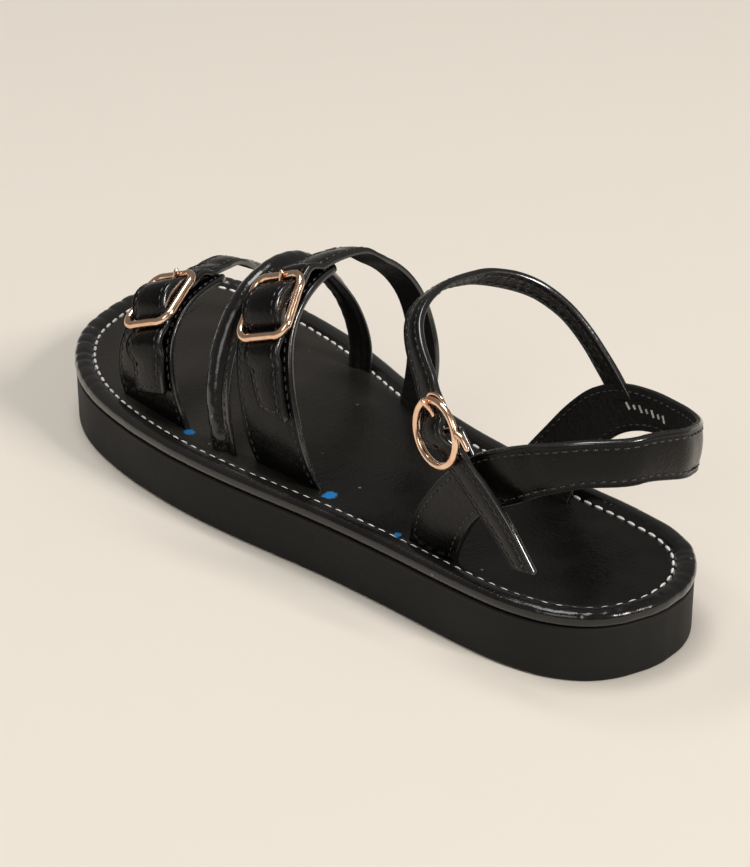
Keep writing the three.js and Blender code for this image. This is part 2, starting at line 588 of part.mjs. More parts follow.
const RING_AT = 0.781;        // the ankle strap passes the ring's bar here
const EMBED_END = 0.06;       // the strap's inner end is sewn into the heel piece
const ANKLE_LEATHER = 1.8;
const heelRows = rowsBetween(HEEL_TOP_EDGE, HEEL_LOW_EDGE, 0, 1, 70, 1, null, LEATHER);
const ankleFree = rowsBetween(ANKLE_FRONT_EDGE, ANKLE_REAR_EDGE, 0, 1, 72, 1, null,
  ANKLE_LEATHER);
ankleFree.forEach((r) => {
  const k = 1 - smooth((r.s - EMBED_END) / 0.05);
  r.outside -= 0.5 * k;
  r.inside += 0.3 * k;
});
const ringRow = ankleFree.reduce((best, r) =>
  (Math.abs(r.s - RING_AT) < Math.abs(best.s - RING_AT) ? r : best));
const ringSeat = (() => {
  const k = ankleFree.indexOf(ringRow);
  const mid = (r) => r.front.clone().add(r.rear).multiplyScalar(0.5);
  const widthDir = ringRow.front.clone().sub(ringRow.rear).normalize();
  const alongDir = mid(ankleFree[k - 4]).sub(mid(ankleFree[k + 4])).normalize();
  alongDir.addScaledVector(widthDir, -alongDir.dot(widthDir)).normalize();
  const normal = widthDir.clone().cross(alongDir).normalize();
  if (normal.dot(ringRow.normal) < 0) normal.negate();
  const radius = RING_WIRE / 2;
  const origin = mid(ringRow).addScaledVector(normal, radius + THREAD_GAP + 0.2);
  return { origin, widthDir, alongDir, normal, radius, reach: RING_DIAMETER / 2 - radius,
    hump: RING_HUMP_REACH };
})();
const ankleRows = threadThrough(ankleFree, ringSeat, ANKLE_LEATHER);

// short leather loop from the heel piece up to the ring's bar, under the ankle strap
const chapeRows = (() => {
  const rows = [];
  const top = ringSeat.origin.clone().addScaledVector(ringSeat.normal, -5.0);
  const foot = v3(-85.5, 30.9, 47.5);
  const along = top.clone().sub(foot);
  const across = ringSeat.widthDir.clone();
  across.addScaledVector(along, -across.dot(along) / along.lengthSq()).normalize();
  const normal = across.clone().cross(along).normalize();
  if (normal.y < 0) normal.negate();
  for (let i = 0; i <= 8; i++) {
    const c = foot.clone().addScaledVector(along, i / 8);
    const half = ANKLE_WIDTH / 2 - 0.6 * smooth(i / 8);
    rows.push({ front: c.clone().addScaledVector(across, half),
      rear: c.clone().addScaledVector(across, -half), normal, inside: -1.4, outside: 0 });
  }
  return rows;
})();

// ---------------------------------------------------------------- buckles
// round-section bar bent along points in the plane of a buckle
function wire(points, radius, closed, steps, sides = 8) {
  const curve = new THREE.CatmullRomCurve3(points, closed, "centripetal");
  const rings = [];
  const plane = v3(0, 0, 1);
  const n = closed ? steps : steps + 1;
  for (let i = 0; i < n; i++) {
    const p = curve.getPointAt(i / steps), t = curve.getTangentAt(i / steps);
    const side = t.clone().cross(plane).normalize();
    const up = side.clone().cross(t).normalize();
    const r = [];
    for (let k = 0; k < sides; k++) {
      const a = (2 * Math.PI * (k + 0.5)) / sides;
      r.push(p.clone().addScaledVector(side, radius * Math.cos(a))
        .addScaledVector(up, radius * Math.sin(a)));
    }
    rings.push(r);
  }
  if (!closed) return loft(rings);
  const pos = [], idx = [];
  rings.forEach((r) => r.forEach((p) => pos.push(p.x, p.y, p.z)));
  for (let i = 0; i < n; i++) {
    for (let j = 0; j < sides; j++) {
      const a = i * sides + j, b = i * sides + ((j + 1) % sides);
      const c = ((i + 1) % n) * sides + ((j + 1) % sides), d = ((i + 1) % n) * sides + j;
      idx.push(a, b, c, a, c, d);
    }
  }
  const g = new THREE.BufferGeometry();
  g.setAttribute("position", new THREE.Float32BufferAttribute(pos, 3));
  g.setIndex(idx);
  return outward(g);
}

// place a geometry drawn with x along the strap's width and y along the strap
function placed(g, origin, widthDir, alongDir) {
  const z = widthDir.clone().cross(alongDir).normalize();
  const y = z.clone().cross(widthDir).normalize();
  const m = new THREE.Matrix4().makeBasis(widthDir.clone().normalize(), y, z)
    .setPosition(origin);
  g.applyMatrix4(m);
  return outward(g);
}

const roundRing = (diameter, radius) => {
  const pts = [];
  for (let k = 0; k < 16; k++) {
    const a = (2 * Math.PI * k) / 16, q = diameter / 2 - radius;
    pts.push(v3(q * Math.cos(a), q * Math.sin(a), 0));
  }
  return wire(pts, radius, true, 40);
};
function clippedFrame(width, length, corner, radius) {
  const w = width / 2 - radius, l = length / 2 - radius, c = corner * 0.62;
  const raw = [
    [w, -l + c], [w, 0], [w, l - c], [w - c * 0.35, l - c * 0.35], [w - c, l], [0, l],
    [-w + c, l], [-w + c * 0.35, l - c * 0.35], [-w, l - c], [-w, 0], [-w, -l + c],
    [-w + c * 0.35, -l + c * 0.35], [-w + c, -l], [0, -l], [w - c, -l],
    [w - c * 0.35, -l + c * 0.35],
  ];
  return wire(raw.map(([x, y]) => v3(x, y, 0)), radius, true, 48);
}

// a buckle's frame with its centre bar, and its prong, placed on a seat
function buckleShapes(seat, outline, halfWidth, extras = []) {
  const r = seat.radius;
  const w = halfWidth - r;
  const bar = wire([v3(-w, 0, 0), v3(-w * 0.86, 0, -BAR_DROP), v3(0, 0, -BAR_DROP),
    v3(w * 0.86, 0, -BAR_DROP), v3(w, 0, 0)], BAR_RADIUS, false, 12);
  const flip = seat.widthDir.clone().cross(seat.alongDir).dot(seat.normal) < 0;
  const widthDir = flip ? seat.widthDir.clone().negate() : seat.widthDir;
  const q = PRONG_WIRE / 2, rest = r + q + JOINT_GAP;
  const prongPath = [
    v3(0, BAR_RADIUS + q + JOINT_GAP, -BAR_DROP), v3(0, seat.reach * 0.45, 0.1),
    v3(0, seat.reach - 1.6, rest), v3(0, seat.reach + 1.1, rest - 0.1),
  ];
  const holePath = prongPath.map((p, i) => (i === 0 ? v3(0, p.y - 0.5, p.z)
    : i === prongPath.length - 1 ? v3(0, p.y + 0.5, p.z) : p));
  const put = (g) => placed(g, seat.origin, widthDir, seat.alongDir);
  return {
    frame: put(join([outline, bar, ...extras])),
    prong: put(wire(prongPath, q, false, 12, 6)),
    hole: put(wire(holePath, q + JOINT_GAP + 0.1, false, 12, 6)),
  };
}
const rectangle = () => clippedFrame(BUCKLE_WIDTH, BUCKLE_LENGTH, BUCKLE_CORNER,
  BUCKLE_WIRE / 2);
const toeBuckle = buckleShapes(toeSeat, rectangle(), BUCKLE_WIDTH / 2);
const instepBuckle = buckleShapes(instepSeat, rectangle(), BUCKLE_WIDTH / 2);
const ringFlip = ringSeat.widthDir.clone().cross(ringSeat.alongDir).dot(ringSeat.normal) < 0
  ? -1 : 1;
const ringHook = wire([v3(-9.6 * ringFlip, -0.8, 0), v3(-11.6 * ringFlip, -2.6, -0.4),
  v3(-13.2 * ringFlip, -6.4, -0.6)], 0.9, false, 8, 6);
const ringBuckle = buckleShapes(ringSeat, roundRing(RING_DIAMETER, RING_WIRE / 2),
  RING_DIAMETER / 2, [ringHook]);

// ---------------------------------------------------------------- build the group
const sandal = new THREE.Group();
sandal.name = "gladiator_sandal";
const PLACE = v3(0, -5.775, 0);
function add(name, geometry, color, roughness, metalness = 0) {
  const mesh = new THREE.Mesh(geometry, new THREE.MeshStandardMaterial({
    color, roughness, metalness }));
  mesh.name = name;
  mesh.position.copy(PLACE);
  sandal.add(mesh);
}

const slots = [
  toeRows, instepRows, toeAnchorRows, instepAnchorRows, heelRows, [...heelRows].reverse(),
].map(slot);
const tubeSlots = ovalTube(TUBE_PATH.map((p, i) => ({ ...p,
  z: i === 0 || i === TUBE_PATH.length - 1 ? p.z - SLOT_CLEARANCE : p.z })),
TUBE_WIDTH + 2 * SLOT_CLEARANCE, TUBE_THICK + 2 * SLOT_CLEARANCE, 38, 10);

add("outsole", outsoleShape, COLORS.rubber, 0.75);
add("footbed", cut(footbedBlank, [...slots, tubeSlots]), COLORS.leather, 0.45);
add("toe_anchor", strap(toeAnchorRows), COLORS.leather, 0.4);
add("toe_strap", cut(strap(toeRows), [toeBuckle.hole]), COLORS.leather, 0.4);
add("rolled_strap", tubeShape, COLORS.leather, 0.3);
add("instep_anchor", strap(instepAnchorRows), COLORS.leather, 0.4);
add("instep_strap", cut(strap(instepRows), [instepBuckle.hole]), COLORS.leather, 0.4);
add("heel_and_ankle_strap", cut(
  join([strap(heelRows), strap(ankleRows), strap(chapeRows)]), [ringBuckle.hole]),
COLORS.leather, 0.4);
add("toe_buckle", toeBuckle.frame, COLORS.gold, 0.25, 1);
add("toe_prong", toeBuckle.prong, COLORS.gold, 0.25, 1);
add("instep_buckle", instepBuckle.frame, COLORS.gold, 0.25, 1);
add("instep_prong", instepBuckle.prong, COLORS.gold, 0.25, 1);
add("ankle_buckle", ringBuckle.frame, COLORS.gold, 0.25, 1);
add("ankle_prong", ringBuckle.prong, COLORS.gold, 0.25, 1);

export default sandal;
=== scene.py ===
"""Left gladiator sandal: the finished model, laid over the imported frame.

Every size is in millimetres unless its name says otherwise; meshes are made in metres.
+X points to the toe, +Y to the outer side of the left foot and +Z up.
"""
from __future__ import annotations

import logging
import math
import random
from dataclasses import dataclass, field, replace
from enum import Enum
from functools import cache
from typing import Callable, Sequence

import bpy
import numpy as np
from mathutils import Matrix, Vector

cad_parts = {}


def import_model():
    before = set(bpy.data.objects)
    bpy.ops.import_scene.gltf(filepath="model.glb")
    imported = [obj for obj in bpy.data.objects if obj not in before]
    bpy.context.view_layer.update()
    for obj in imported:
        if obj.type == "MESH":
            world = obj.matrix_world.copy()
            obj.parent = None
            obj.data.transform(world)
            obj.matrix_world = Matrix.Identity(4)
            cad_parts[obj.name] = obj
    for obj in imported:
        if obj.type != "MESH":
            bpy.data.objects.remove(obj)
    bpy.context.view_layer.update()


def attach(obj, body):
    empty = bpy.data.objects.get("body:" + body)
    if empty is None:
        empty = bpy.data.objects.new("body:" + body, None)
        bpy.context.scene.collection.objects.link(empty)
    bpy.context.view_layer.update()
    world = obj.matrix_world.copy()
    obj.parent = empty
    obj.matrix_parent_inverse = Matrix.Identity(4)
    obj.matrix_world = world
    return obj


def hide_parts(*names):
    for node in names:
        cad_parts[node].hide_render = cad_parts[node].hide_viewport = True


MM = 0.001
SHIFT = np.array((0.0, -5.775, 0.0))    # the frame's origin lies under the box's middle
LOG = logging.getLogger("sandal")

Color = tuple[float, float, float]
Array = np.ndarray


# ------------------------------------------------------------------ sizes of the sandal
SOLE_HEIGHT = 16.8
JOINT_GAP = 0.3
FOOTBED_TOP = 20.0
RIM_RISE = 1.7
RIM_WIDTH = 5.6
RIM_PROUD = 0.5
HEEL_DISH = 0.9
TOE_RISE = 2.0
LEATHER = 2.0
ANCHOR_LEATHER = 1.8
ANKLE_LEATHER = 1.8
LAYER_GAP = 0.45
SLOT_DEPTH = 1.6
BUCKLE_WIDTH = 21.5
BUCKLE_LENGTH = 22.4
BUCKLE_WIRE = 2.6
BUCKLE_CORNER = 5.0
PRONG_WIRE = 1.5
RING_DIAMETER = 20.4
RING_WIRE = 2.1
ANKLE_WIDTH = 9.2
BAR_DROP = 0.9
BAR_RADIUS = 0.8
HUMP_REACH = 4.8
RING_HUMP_REACH = 3.7
THREAD_GAP = 0.65
STACK = ANCHOR_LEATHER + LAYER_GAP
STITCH_INSET = 2.15              # from a strap's edge to its stitching
STITCH_PITCH = 2.7
BED_PITCH = 4.2                  # the long stitches round the footbed
BED_STITCH_INSET = 5.95
RIM_CREST = 2.6                  # from the outline in to the highest line of the rim
END_ROWS = np.array((0, 0.05, 0.16, 0.34, 0.6, 0.95))    # close rows that round an end
END_CLEAR = 1.4                  # where a strap's even rows begin
SEAM_START = 3.0                 # from a strap's foot to its first stitch
HOLE_RADIUS = 0.75
ANKLE_HOLE_RADIUS = 0.65
HOLE_REACH = 0.68                # share of the way from the centre bar to the frame's end
LAP_FADE = 0.09                  # u over which a strap climbs on its anchor piece
FRAME_CLEAR = 1.2                # a strap stays flat this far past the frame
FRAME_FADE = 5.0
FRAME_REACH = 16.0
PAD_AT = 1.8                     # middle of the padding over the centre bar
PAD_SHARE = 1.45                 # its half-length against the hump's
WIRE_SIDES = 16
WIRE_TIP = (0.35, 0.75, 0.93, 1.0)     # share of a bar's radius at its first rings

# half-widths of the sole: x, outer side, inner side
SOLE_OUTLINE = (
    (-126.0, 4.0, -2.0), (-124.2, 12.6, -10.4), (-120, 20.6, -18.2), (-114, 26.2, -24.4),
    (-108, 29.7, -28.1), (-96, 33.6, -30.6), (-84, 35.5, -30.5), (-72, 36.8, -29.5),
    (-60, 37.9, -28.4), (-48, 39.2, -27.6), (-36, 40.7, -27.2), (-24, 42.6, -27.2),
    (-12, 44.8, -27.8), (0, 47.0, -29.0), (12, 48.9, -30.8), (24, 50.3, -33.2),
    (36, 51.1, -35.7), (48, 51.2, -37.8), (60, 50.5, -39.2), (72, 49.0, -39.7),
    (84, 46.1, -39.4), (96, 41.0, -38.2), (108, 32.4, -36.3), (115, 24.4, -34.0),
    (120, 14.8, -30.5), (124.2, 3.6, -22.4), (126.0, -5.0, -13.0),
)
# foot form: x, outer foot, outer widest, its height, y of the top, top,
# inner widest, its height, inner foot
FORM = (
    (92, 30.0, 32.0, 26, 3, 48.0, -27.0, 28, -29.5),
    (78, 36.5, 37.5, 27, 4, 49.5, -26.0, 28, -27.0),
    (66, 38.5, 40.0, 28, 5, 52.0, -22.8, 30, -24.0),
    (50, 38.8, 40.0, 30, 5, 57.5, -23.0, 32, -25.0),
    (36, 37.8, 39.4, 32, 4, 63.5, -25.0, 34, -26.0),
    (18, 35.0, 37.0, 35, 2, 71.0, -26.5, 40, -23.0),
    (4, 33.0, 35.5, 36, 1, 75.5, -25.5, 44, -19.5),
    (-8, 31.0, 35.0, 37, 2, 78.5, -24.0, 44, -16.5),
    (-24, 29.5, 34.5, 38, 3, 81.0, -22.0, 44, -14.0),
)
# straps round the form: u, x of the front edge, x of the rear edge, skew
TOE_STRAP = (
    (1.00, 84.3, 74.6, 0), (0.86, 83.2, 72.6, 0), (0.70, 80.0, 68.8, 0),
    (0.55, 75.4, 62.8, 0.008), (0.43, 69.8, 56.0, 0.016), (0.342, 66.0, 52.2, 0.02),
    (0.23, 60.8, 46.6, 0.024), (0.12, 57.4, 43.6, 0.026),
)
INSTEP_STRAP = (
    (1.00, 11.0, -5.3, 0), (0.90, 12.6, -3.0, 0), (0.78, 15.0, 1.6, 0), (0.62, 17.4, 4.8, 0),
    (0.50, 17.8, 4.8, 0.006), (0.40, 15.8, 2.8, 0.012), (0.32, 12.6, -0.8, 0.016),
    (0.24, 8.0, -5.0, 0.012), (0.165, 2.4, -10.6, -0.01),
)
TOE_ANCHOR = (
    (0.00, 69.8, 37.9, 0), (0.05, 71.0, 38.6, 0), (0.14, 72.6, 41.0, 0),
    (0.22, 73.4, 44.2, 0.004), (0.30, 72.4, 48.0, 0.01), (0.38, 70.4, 51.6, 0.014),
    (0.47, 66.8, 55.4, 0.014),
)
INSTEP_ANCHOR = (
    (0.00, 8.2, -18.0, 0), (0.06, 10.6, -16.4, 0), (0.14, 12.6, -13.6, 0),
    (0.22, 15.6, -8.6, 0.004), (0.30, 18.8, -3.2, 0.008), (0.38, 19.4, 0.8, 0.01),
    (0.47, 17.2, 5.0, 0.01),
)
TOE_BUCKLE = (58.6, 0.334)       # x and u of each buckle's middle
INSTEP_BUCKLE = (6.0, 0.325)
TOE_TAB_END = 0.125
INSTEP_TAB_END = 0.165
ANCHOR_END = 0.47
# middle line of the rolled strap: x, y, z
TUBE_PATH = (
    (39.2, -28.4, 18.6), (40.0, -29.0, 30), (41.0, -25.0, 43.5), (40.0, -16.0, 55.5),
    (36.6, -4.0, 64.6), (33.4, 8.0, 66.8), (31.6, 20.0, 62.4), (29.6, 30.0, 51.6),
    (26.0, 36.6, 37.6), (22.0, 38.6, 25.0), (20.8, 38.4, 18.6),
)
# outer faces of the heel piece and the ankle strap: s, x, y, z of an edge
HEEL_TOP_EDGE = (
    (0.00, -43.0, -16.9, 18.4), (0.05, -46.4, -21.6, 26.0), (0.10, -51.6, -26.8, 35.5),
    (0.15, -57.8, -29.4, 44.5), (0.21, -67.0, -30.6, 53.2), (0.27, -78.6, -30.8, 58.6),
    (0.33, -90.0, -30.4, 60.8), (0.39, -102.0, -28.8, 62.0), (0.45, -113.0, -24.4, 64.0),
    (0.50, -121.4, -16.0, 67.4), (0.55, -126.2, -4.0, 71.0), (0.60, -125.4, 9.0, 73.0),
    (0.66, -118.4, 20.8, 72.6), (0.72, -107.0, 28.4, 69.6), (0.78, -95.0, 31.0, 64.8),
    (0.84, -83.0, 32.0, 58.0), (0.89, -72.4, 31.8, 48.6), (0.94, -63.4, 31.6, 37.6),
    (0.97, -58.0, 31.3, 28.4), (1.00, -55.6, 30.9, 18.4),
)
HEEL_LOW_EDGE = (
    (0.00, -68.4, -19.4, 18.4), (0.05, -69.4, -22.0, 25.4), (0.10, -71.6, -25.8, 33.0),
    (0.15, -75.4, -28.6, 39.6), (0.21, -81.4, -30.0, 44.6), (0.27, -88.4, -30.4, 47.6),
    (0.33, -96.0, -29.8, 49.2), (0.39, -104.6, -27.8, 48.6), (0.45, -113.8, -23.2, 49.6),
    (0.50, -121.2, -15.2, 52.2), (0.55, -125.4, -4.0, 56.0), (0.60, -124.8, 8.6, 58.8),
    (0.66, -118.0, 19.6, 58.4), (0.72, -107.8, 27.0, 54.4), (0.78, -98.6, 30.2, 48.8),
    (0.84, -89.8, 31.0, 43.4), (0.89, -83.4, 30.9, 37.6), (0.94, -78.6, 30.4, 30.2),
    (0.97, -75.2, 29.6, 24.0), (1.00, -73.2, 29.0, 18.4),
)
ANKLE_REAR_EDGE = (
    (0.00, -83.0, -30.2, 54.6), (0.06, -77.0, -30.2, 60.6), (0.13, -69.4, -29.4, 68.2),
    (0.20, -60.8, -26.8, 76.8), (0.27, -52.8, -21.8, 83.4), (0.34, -47.6, -13.4, 87.9),
    (0.41, -45.4, -4.0, 90.0), (0.48, -45.8, 6.4, 90.6), (0.55, -48.4, 16.4, 89.6),
    (0.61, -52.6, 24.4, 86.4), (0.66, -59.8, 29.8, 81.6), (0.71, -69.0, 33.0, 75.0),
    (0.76, -75.8, 34.6, 68.2), (0.81, -82.2, 35.4, 61.2), (0.87, -91.2, 36.1, 55.5),
    (0.94, -102.6, 36.3, 47.4), (1.00, -113.0, 35.6, 35.6),
)
ANKLE_FRONT_EDGE = (
    (0.00, -74.0, -30.2, 51.4), (0.06, -69.8, -31.4, 55.4), (0.13, -62.8, -31.6, 61.8),
    (0.20, -54.6, -29.8, 69.8), (0.27, -46.8, -25.2, 75.8), (0.34, -41.2, -15.6, 80.6),
    (0.41, -38.4, -4.0, 84.0), (0.48, -38.6, 6.4, 85.2), (0.55, -41.2, 16.6, 84.6),
    (0.61, -45.8, 24.6, 81.8), (0.66, -52.4, 29.6, 77.0), (0.71, -60.2, 32.6, 70.4),
    (0.76, -66.6, 34.0, 63.4), (0.81, -74.2, 34.8, 56.0), (0.87, -84.2, 35.4, 48.0),
    (0.94, -95.8, 35.6, 40.4), (1.00, -103.6, 35.2, 33.4),
)
RING_AT = 0.781
CHAPE_FOOT = (-85.5, 30.9, 47.5)


# ------------------------------------------------------------------ reading the tables
def smooth(t: float) -> float:
    """Smooth step of t from 0 to 1.

    Args:
        t: where between the two ends.

    Returns:
        0 below 0, 1 above 1, and a smooth curve between.
    """
    c = min(1.0, max(0.0, t))
    return c * c * (3 - 2 * c)


def unit(v: Array) -> Array:
    """Vector or rows of vectors brought to length 1."""
    return v / np.maximum(np.linalg.norm(v, axis=-1, keepdims=True), 1e-12)


def run_of(points: Array) -> Array:
    """Distance along a line of points, 0 at its start."""
    return np.concatenate([[0], np.cumsum(np.linalg.norm(np.diff(points, axis=0), axis=1))])


def read_at(at: float | Array, run: Array, points: Array) -> Array:
    """Points at distances along a line whose run is known."""
    return np.stack([np.interp(at, run, points[:, k]) for k in range(points.shape[1])], axis=-1)


def hermite(t: float, span: float, a: Array, b: Array, slope_a: Array, slope_b: Array) -> Array:
    """Cubic from a to b, by the slopes at both and t from 0 to 1."""
    return ((2 * t**3 - 3 * t**2 + 1) * a + (t**3 - 2 * t**2 + t) * span * slope_a
            + (-2 * t**3 + 3 * t**2) * b + (t**3 - t**2) * span * slope_b)


def squared(along: Array, width: Array, outward: Array) -> tuple[Array, Array]:
    """Along made square to width, and the normal of both that faces outward."""
    along = unit(along - width * float(along @ width))
    normal = unit(np.cross(width, along))
    return along, -normal if normal @ outward < 0 else normal


class SmoothTable:
    """Monotone cubic reading of a table's columns by its first one."""

    def __init__(self, rows: Sequence[Sequence[float]]) -> None:
        """Sorts the rows and works out a slope at each.

        Args:
            rows: the table, its key first.
        """
        data = np.array(sorted(rows), float)
        self.keys: Array = data[:, 0]
        self.values: Array = data[:, 1:]
        d = np.diff(self.values, axis=0) / np.diff(self.keys)[:, None]
        self.slopes: Array = np.vstack([d[:1], np.zeros_like(d[1:]), d[-1:]])
        product, total = d[:-1] * d[1:], d[:-1] + d[1:]
        safe = np.where(product > 0, total, 1.0)
        self.slopes[1:-1] = np.where(product > 0, 2 * product / safe, 0.0)

    def at(self, key: float) -> Array:
        """Reads every column.

        Args:
            key: value of the first column, held inside the table.

        Returns:
            The other columns there.
        """
        c = float(np.clip(key, self.keys[0], self.keys[-1]))
        i = int(np.clip(np.searchsorted(self.keys, c) - 1, 0, len(self.keys) - 2))
        h = self.keys[i + 1] - self.keys[i]
        s = (c - self.keys[i]) / h
        return hermite(s, h, *self.values[i:i + 2], *self.slopes[i:i + 2])


def curve_through(points: Array, closed: bool, per_span: int = 12) -> Array:
    """Centripetal curve through points.

    Args:
        points: rows of x, y, z.
        closed: whether the last point joins the first.
        per_span: samples between two points.

    Returns:
        The samples; a closed curve doesn't repeat its first.
    """
    n = len(points)
    out = []
    for i in range(n if closed else n - 1):
        if closed:
            p = [points[(i + k) % n] for k in (-1, 0, 1, 2)]
        else:
            p = [points[i - 1] if i else 2 * points[0] - points[1], points[i], points[i + 1],
                 points[i + 2] if i + 2 < n else 2 * points[-1] - points[-2]]
        d = [max(math.sqrt(np.linalg.norm(p[k + 1] - p[k])), 1e-4) for k in range(3)]
        m1 = ((p[1] - p[0]) / d[0] - (p[2] - p[0]) / (d[0] + d[1])
              + (p[2] - p[1]) / d[1]) * d[1]
        m2 = ((p[2] - p[1]) / d[1] - (p[3] - p[1]) / (d[1] + d[2])
              + (p[3] - p[2]) / d[2]) * d[1]
        out += [hermite(k / per_span, 1, p[1], p[2], m1, m2) for k in range(per_span)]
    if not closed:
        out.append(points[-1])
    return np.array(out)


def even_steps(points: Array, count: int, closed: bool) -> Array:
    """Points at equal distances along a line of points.

    Args:
        points: the line.
        count: how many to give.
        closed: whether the line closes on itself.

    Returns:
        The points; an open line keeps both ends.
    """
    line = np.vstack([points, points[:1]]) if closed else points
    run = run_of(line)
    at = np.linspace(0, run[-1], count + 1)[:-1] if closed else np.linspace(0, run[-1], count)
    return read_at(at, run, line)


# ------------------------------------------------------------------ the foot inside
class FootForm:
    """The foot that the front straps were lasted over."""

    OUT, TOP, IN = 0.14, 0.5, 0.86       # u of the widest points and the top
    OUT_FULL, IN_FULL = 2.5, 2.1         # fullness of the shoulders; 2 is an ellipse

    def __init__(self) -> None:
        """Prepares the table."""
        self.table = SmoothTable(FORM)

    @staticmethod
    def _shoulder(angle: float, full: float) -> tuple[float, float]:
        """Across and up on a full quarter round, each from 0 to 1."""
        c, s = abs(math.cos(angle)), abs(math.sin(angle))
        k = (c**full + s**full) ** (-1 / full)
        return c * k, s * k

    def on(self, x: float, u: float) -> Array:
        """Point of the form.

        Args:
            x: station along the foot.
            u: 0 at the outer foot of the section, 1 at the inner foot.

        Returns:
            The point.
        """
        u = min(1.0, max(0.0, u))
        foot_o, wide_o, high_o, mid, top, wide_i, high_i, foot_i = self.table.at(x)
        low = FOOTBED_TOP - SLOT_DEPTH
        if u <= self.OUT:
            t = u / self.OUT
            y = foot_o + (wide_o - foot_o) * math.sin(t * math.pi / 2)
            return np.array((x, y, low + (high_o - low) * t))
        if u <= self.TOP:
            a, r = self._shoulder((u - self.OUT) / (self.TOP - self.OUT) * math.pi / 2,
                                  self.OUT_FULL)
            return np.array((x, mid + (wide_o - mid) * a, high_o + (top - high_o) * r))
        if u <= self.IN:
            a, r = self._shoulder((self.IN - u) / (self.IN - self.TOP) * math.pi / 2,
                                  self.IN_FULL)
            return np.array((x, mid + (wide_i - mid) * a, high_i + (top - high_i) * r))
        t = (1 - u) / (1 - self.IN)
        y = foot_i + (wide_i - foot_i) * math.sin(t * math.pi / 2)
        return np.array((x, y, low + (high_i - low) * t))

    def normal(self, x: float, u: float) -> Array:
        """Outward direction of the form at a point of it."""
        along = self.on(x, u + 0.012) - self.on(x, u - 0.012)
        across = self.on(x + 1, u) - self.on(x - 1, u)
        return unit(-np.cross(across, along))


# ------------------------------------------------------------------ bands of leather
@dataclass
class Band:
    """Rows across a strap: its two edges, its outward direction and its faces' heights."""

    front: Array
    rear: Array
    normal: Array
    inside: Array
    outside: Array

    def middle(self) -> Array:
        """Middle line of the edges."""
        return (self.front + self.rear) / 2

    def run(self) -> Array:
        """Distance along the middle line."""
        return run_of(self.middle())

    def respaced(self, spacing: float) -> Band:
        """The same band on rows at a spacing, close together at its ends."""
        run = self.run()
        inner = np.arange(END_CLEAR, run[-1] - END_CLEAR, spacing)
        at = np.concatenate([END_ROWS, inner, (run[-1] - END_ROWS)[::-1]])
        front, rear, normal = (read_at(at, run, line)
                               for line in (self.front, self.rear, self.normal))
        return Band(front, rear, unit(normal), np.interp(at, run, self.inside),
                    np.interp(at, run, self.outside))

    def renormalled(self) -> Band:
        """The same band with its outward direction worked out from its rows."""
        mid = self.middle()
        along = np.gradient(mid, self.run(), axis=0)
        n = unit(np.cross(along, self.rear - self.front))
        flip = np.sign(np.sum(n * self.normal, axis=1))[:, None]
        return replace(self, normal=n * flip)


def on_form(form: FootForm, table: Sequence[Sequence[float]], u0: float, u1: float,
            lift: Callable[[float], float], thickness: float, steps: int = 360) -> Band:
    """Band lying on the foot form.

    Args:
        form: the foot form.
        table: u, x of the front edge, x of the rear edge, skew.
        u0: where it starts.
        u1: where it ends.
        lift: height of its inner face above the form, by u.
        thickness: of the leather.
        steps: rows.

    Returns:
        The band.
    """
    edge = SmoothTable(table)
    front, rear, normal, low = [], [], [], []
    for u in np.linspace(u0, u1, steps + 1):
        f, r, skew = edge.at(u)
        front.append(form.on(f, u - skew / 2))
        rear.append(form.on(r, u + skew / 2))
        normal.append(form.normal((f + r) / 2, u))
        low.append(lift(u))
    low = np.array(low)
    return Band(np.array(front), np.array(rear), np.array(normal), low, low + thickness)


def between(front: Sequence[Sequence[float]], rear: Sequence[Sequence[float]],
            thickness: float, steps: int = 400) -> Band:
    """Band between two edge tables, which give its outer face.

    Args:
        front: s, x, y, z of one edge.
        rear: the same of the other.
        thickness: of the leather.
        steps: rows.

    Returns:
        The band.
    """
    f, r = SmoothTable(front), SmoothTable(rear)
    at = np.linspace(0, 1, steps + 1)
    a = np.array([f.at(s) for s in at])
    b = np.array([r.at(s) for s in at])
    ahead, behind = np.clip(at + 0.012, 0, 1), np.clip(at - 0.012, 0, 1)
    along = np.array([f.at(p) + r.at(p) - f.at(q) - r.at(q) for p, q in zip(ahead, behind)])
    zero = np.zeros(steps + 1)
    return Band(a, b, unit(np.cross(along, b - a)), zero - thickness, zero)


@dataclass(frozen=True)
class Seat:
    """Where a buckle sits on its strap."""

    origin: Array
    width: Array
    along: Array
    normal: Array
    reach: float
    radius: float
    hump: float
    bulge: float = 0.0           # padding of the strap over the centre bar


def hump_height(d: float, radius: float, thickness: float, hump: float) -> float:
    """Height of a threaded strap's inner face over the frame's plane.

    Args:
        d: distance from the centre bar, along the strap.
        radius: of the frame's bar.
        thickness: of the leather.
        hump: half-length of the rise over the centre bar.

    Returns:
        The height.
    """
    low = -radius - THREAD_GAP - thickness
    high = -BAR_DROP + BAR_RADIUS + LAYER_GAP
    return low + (high - low) * math.exp(-((d / hump) ** 2))


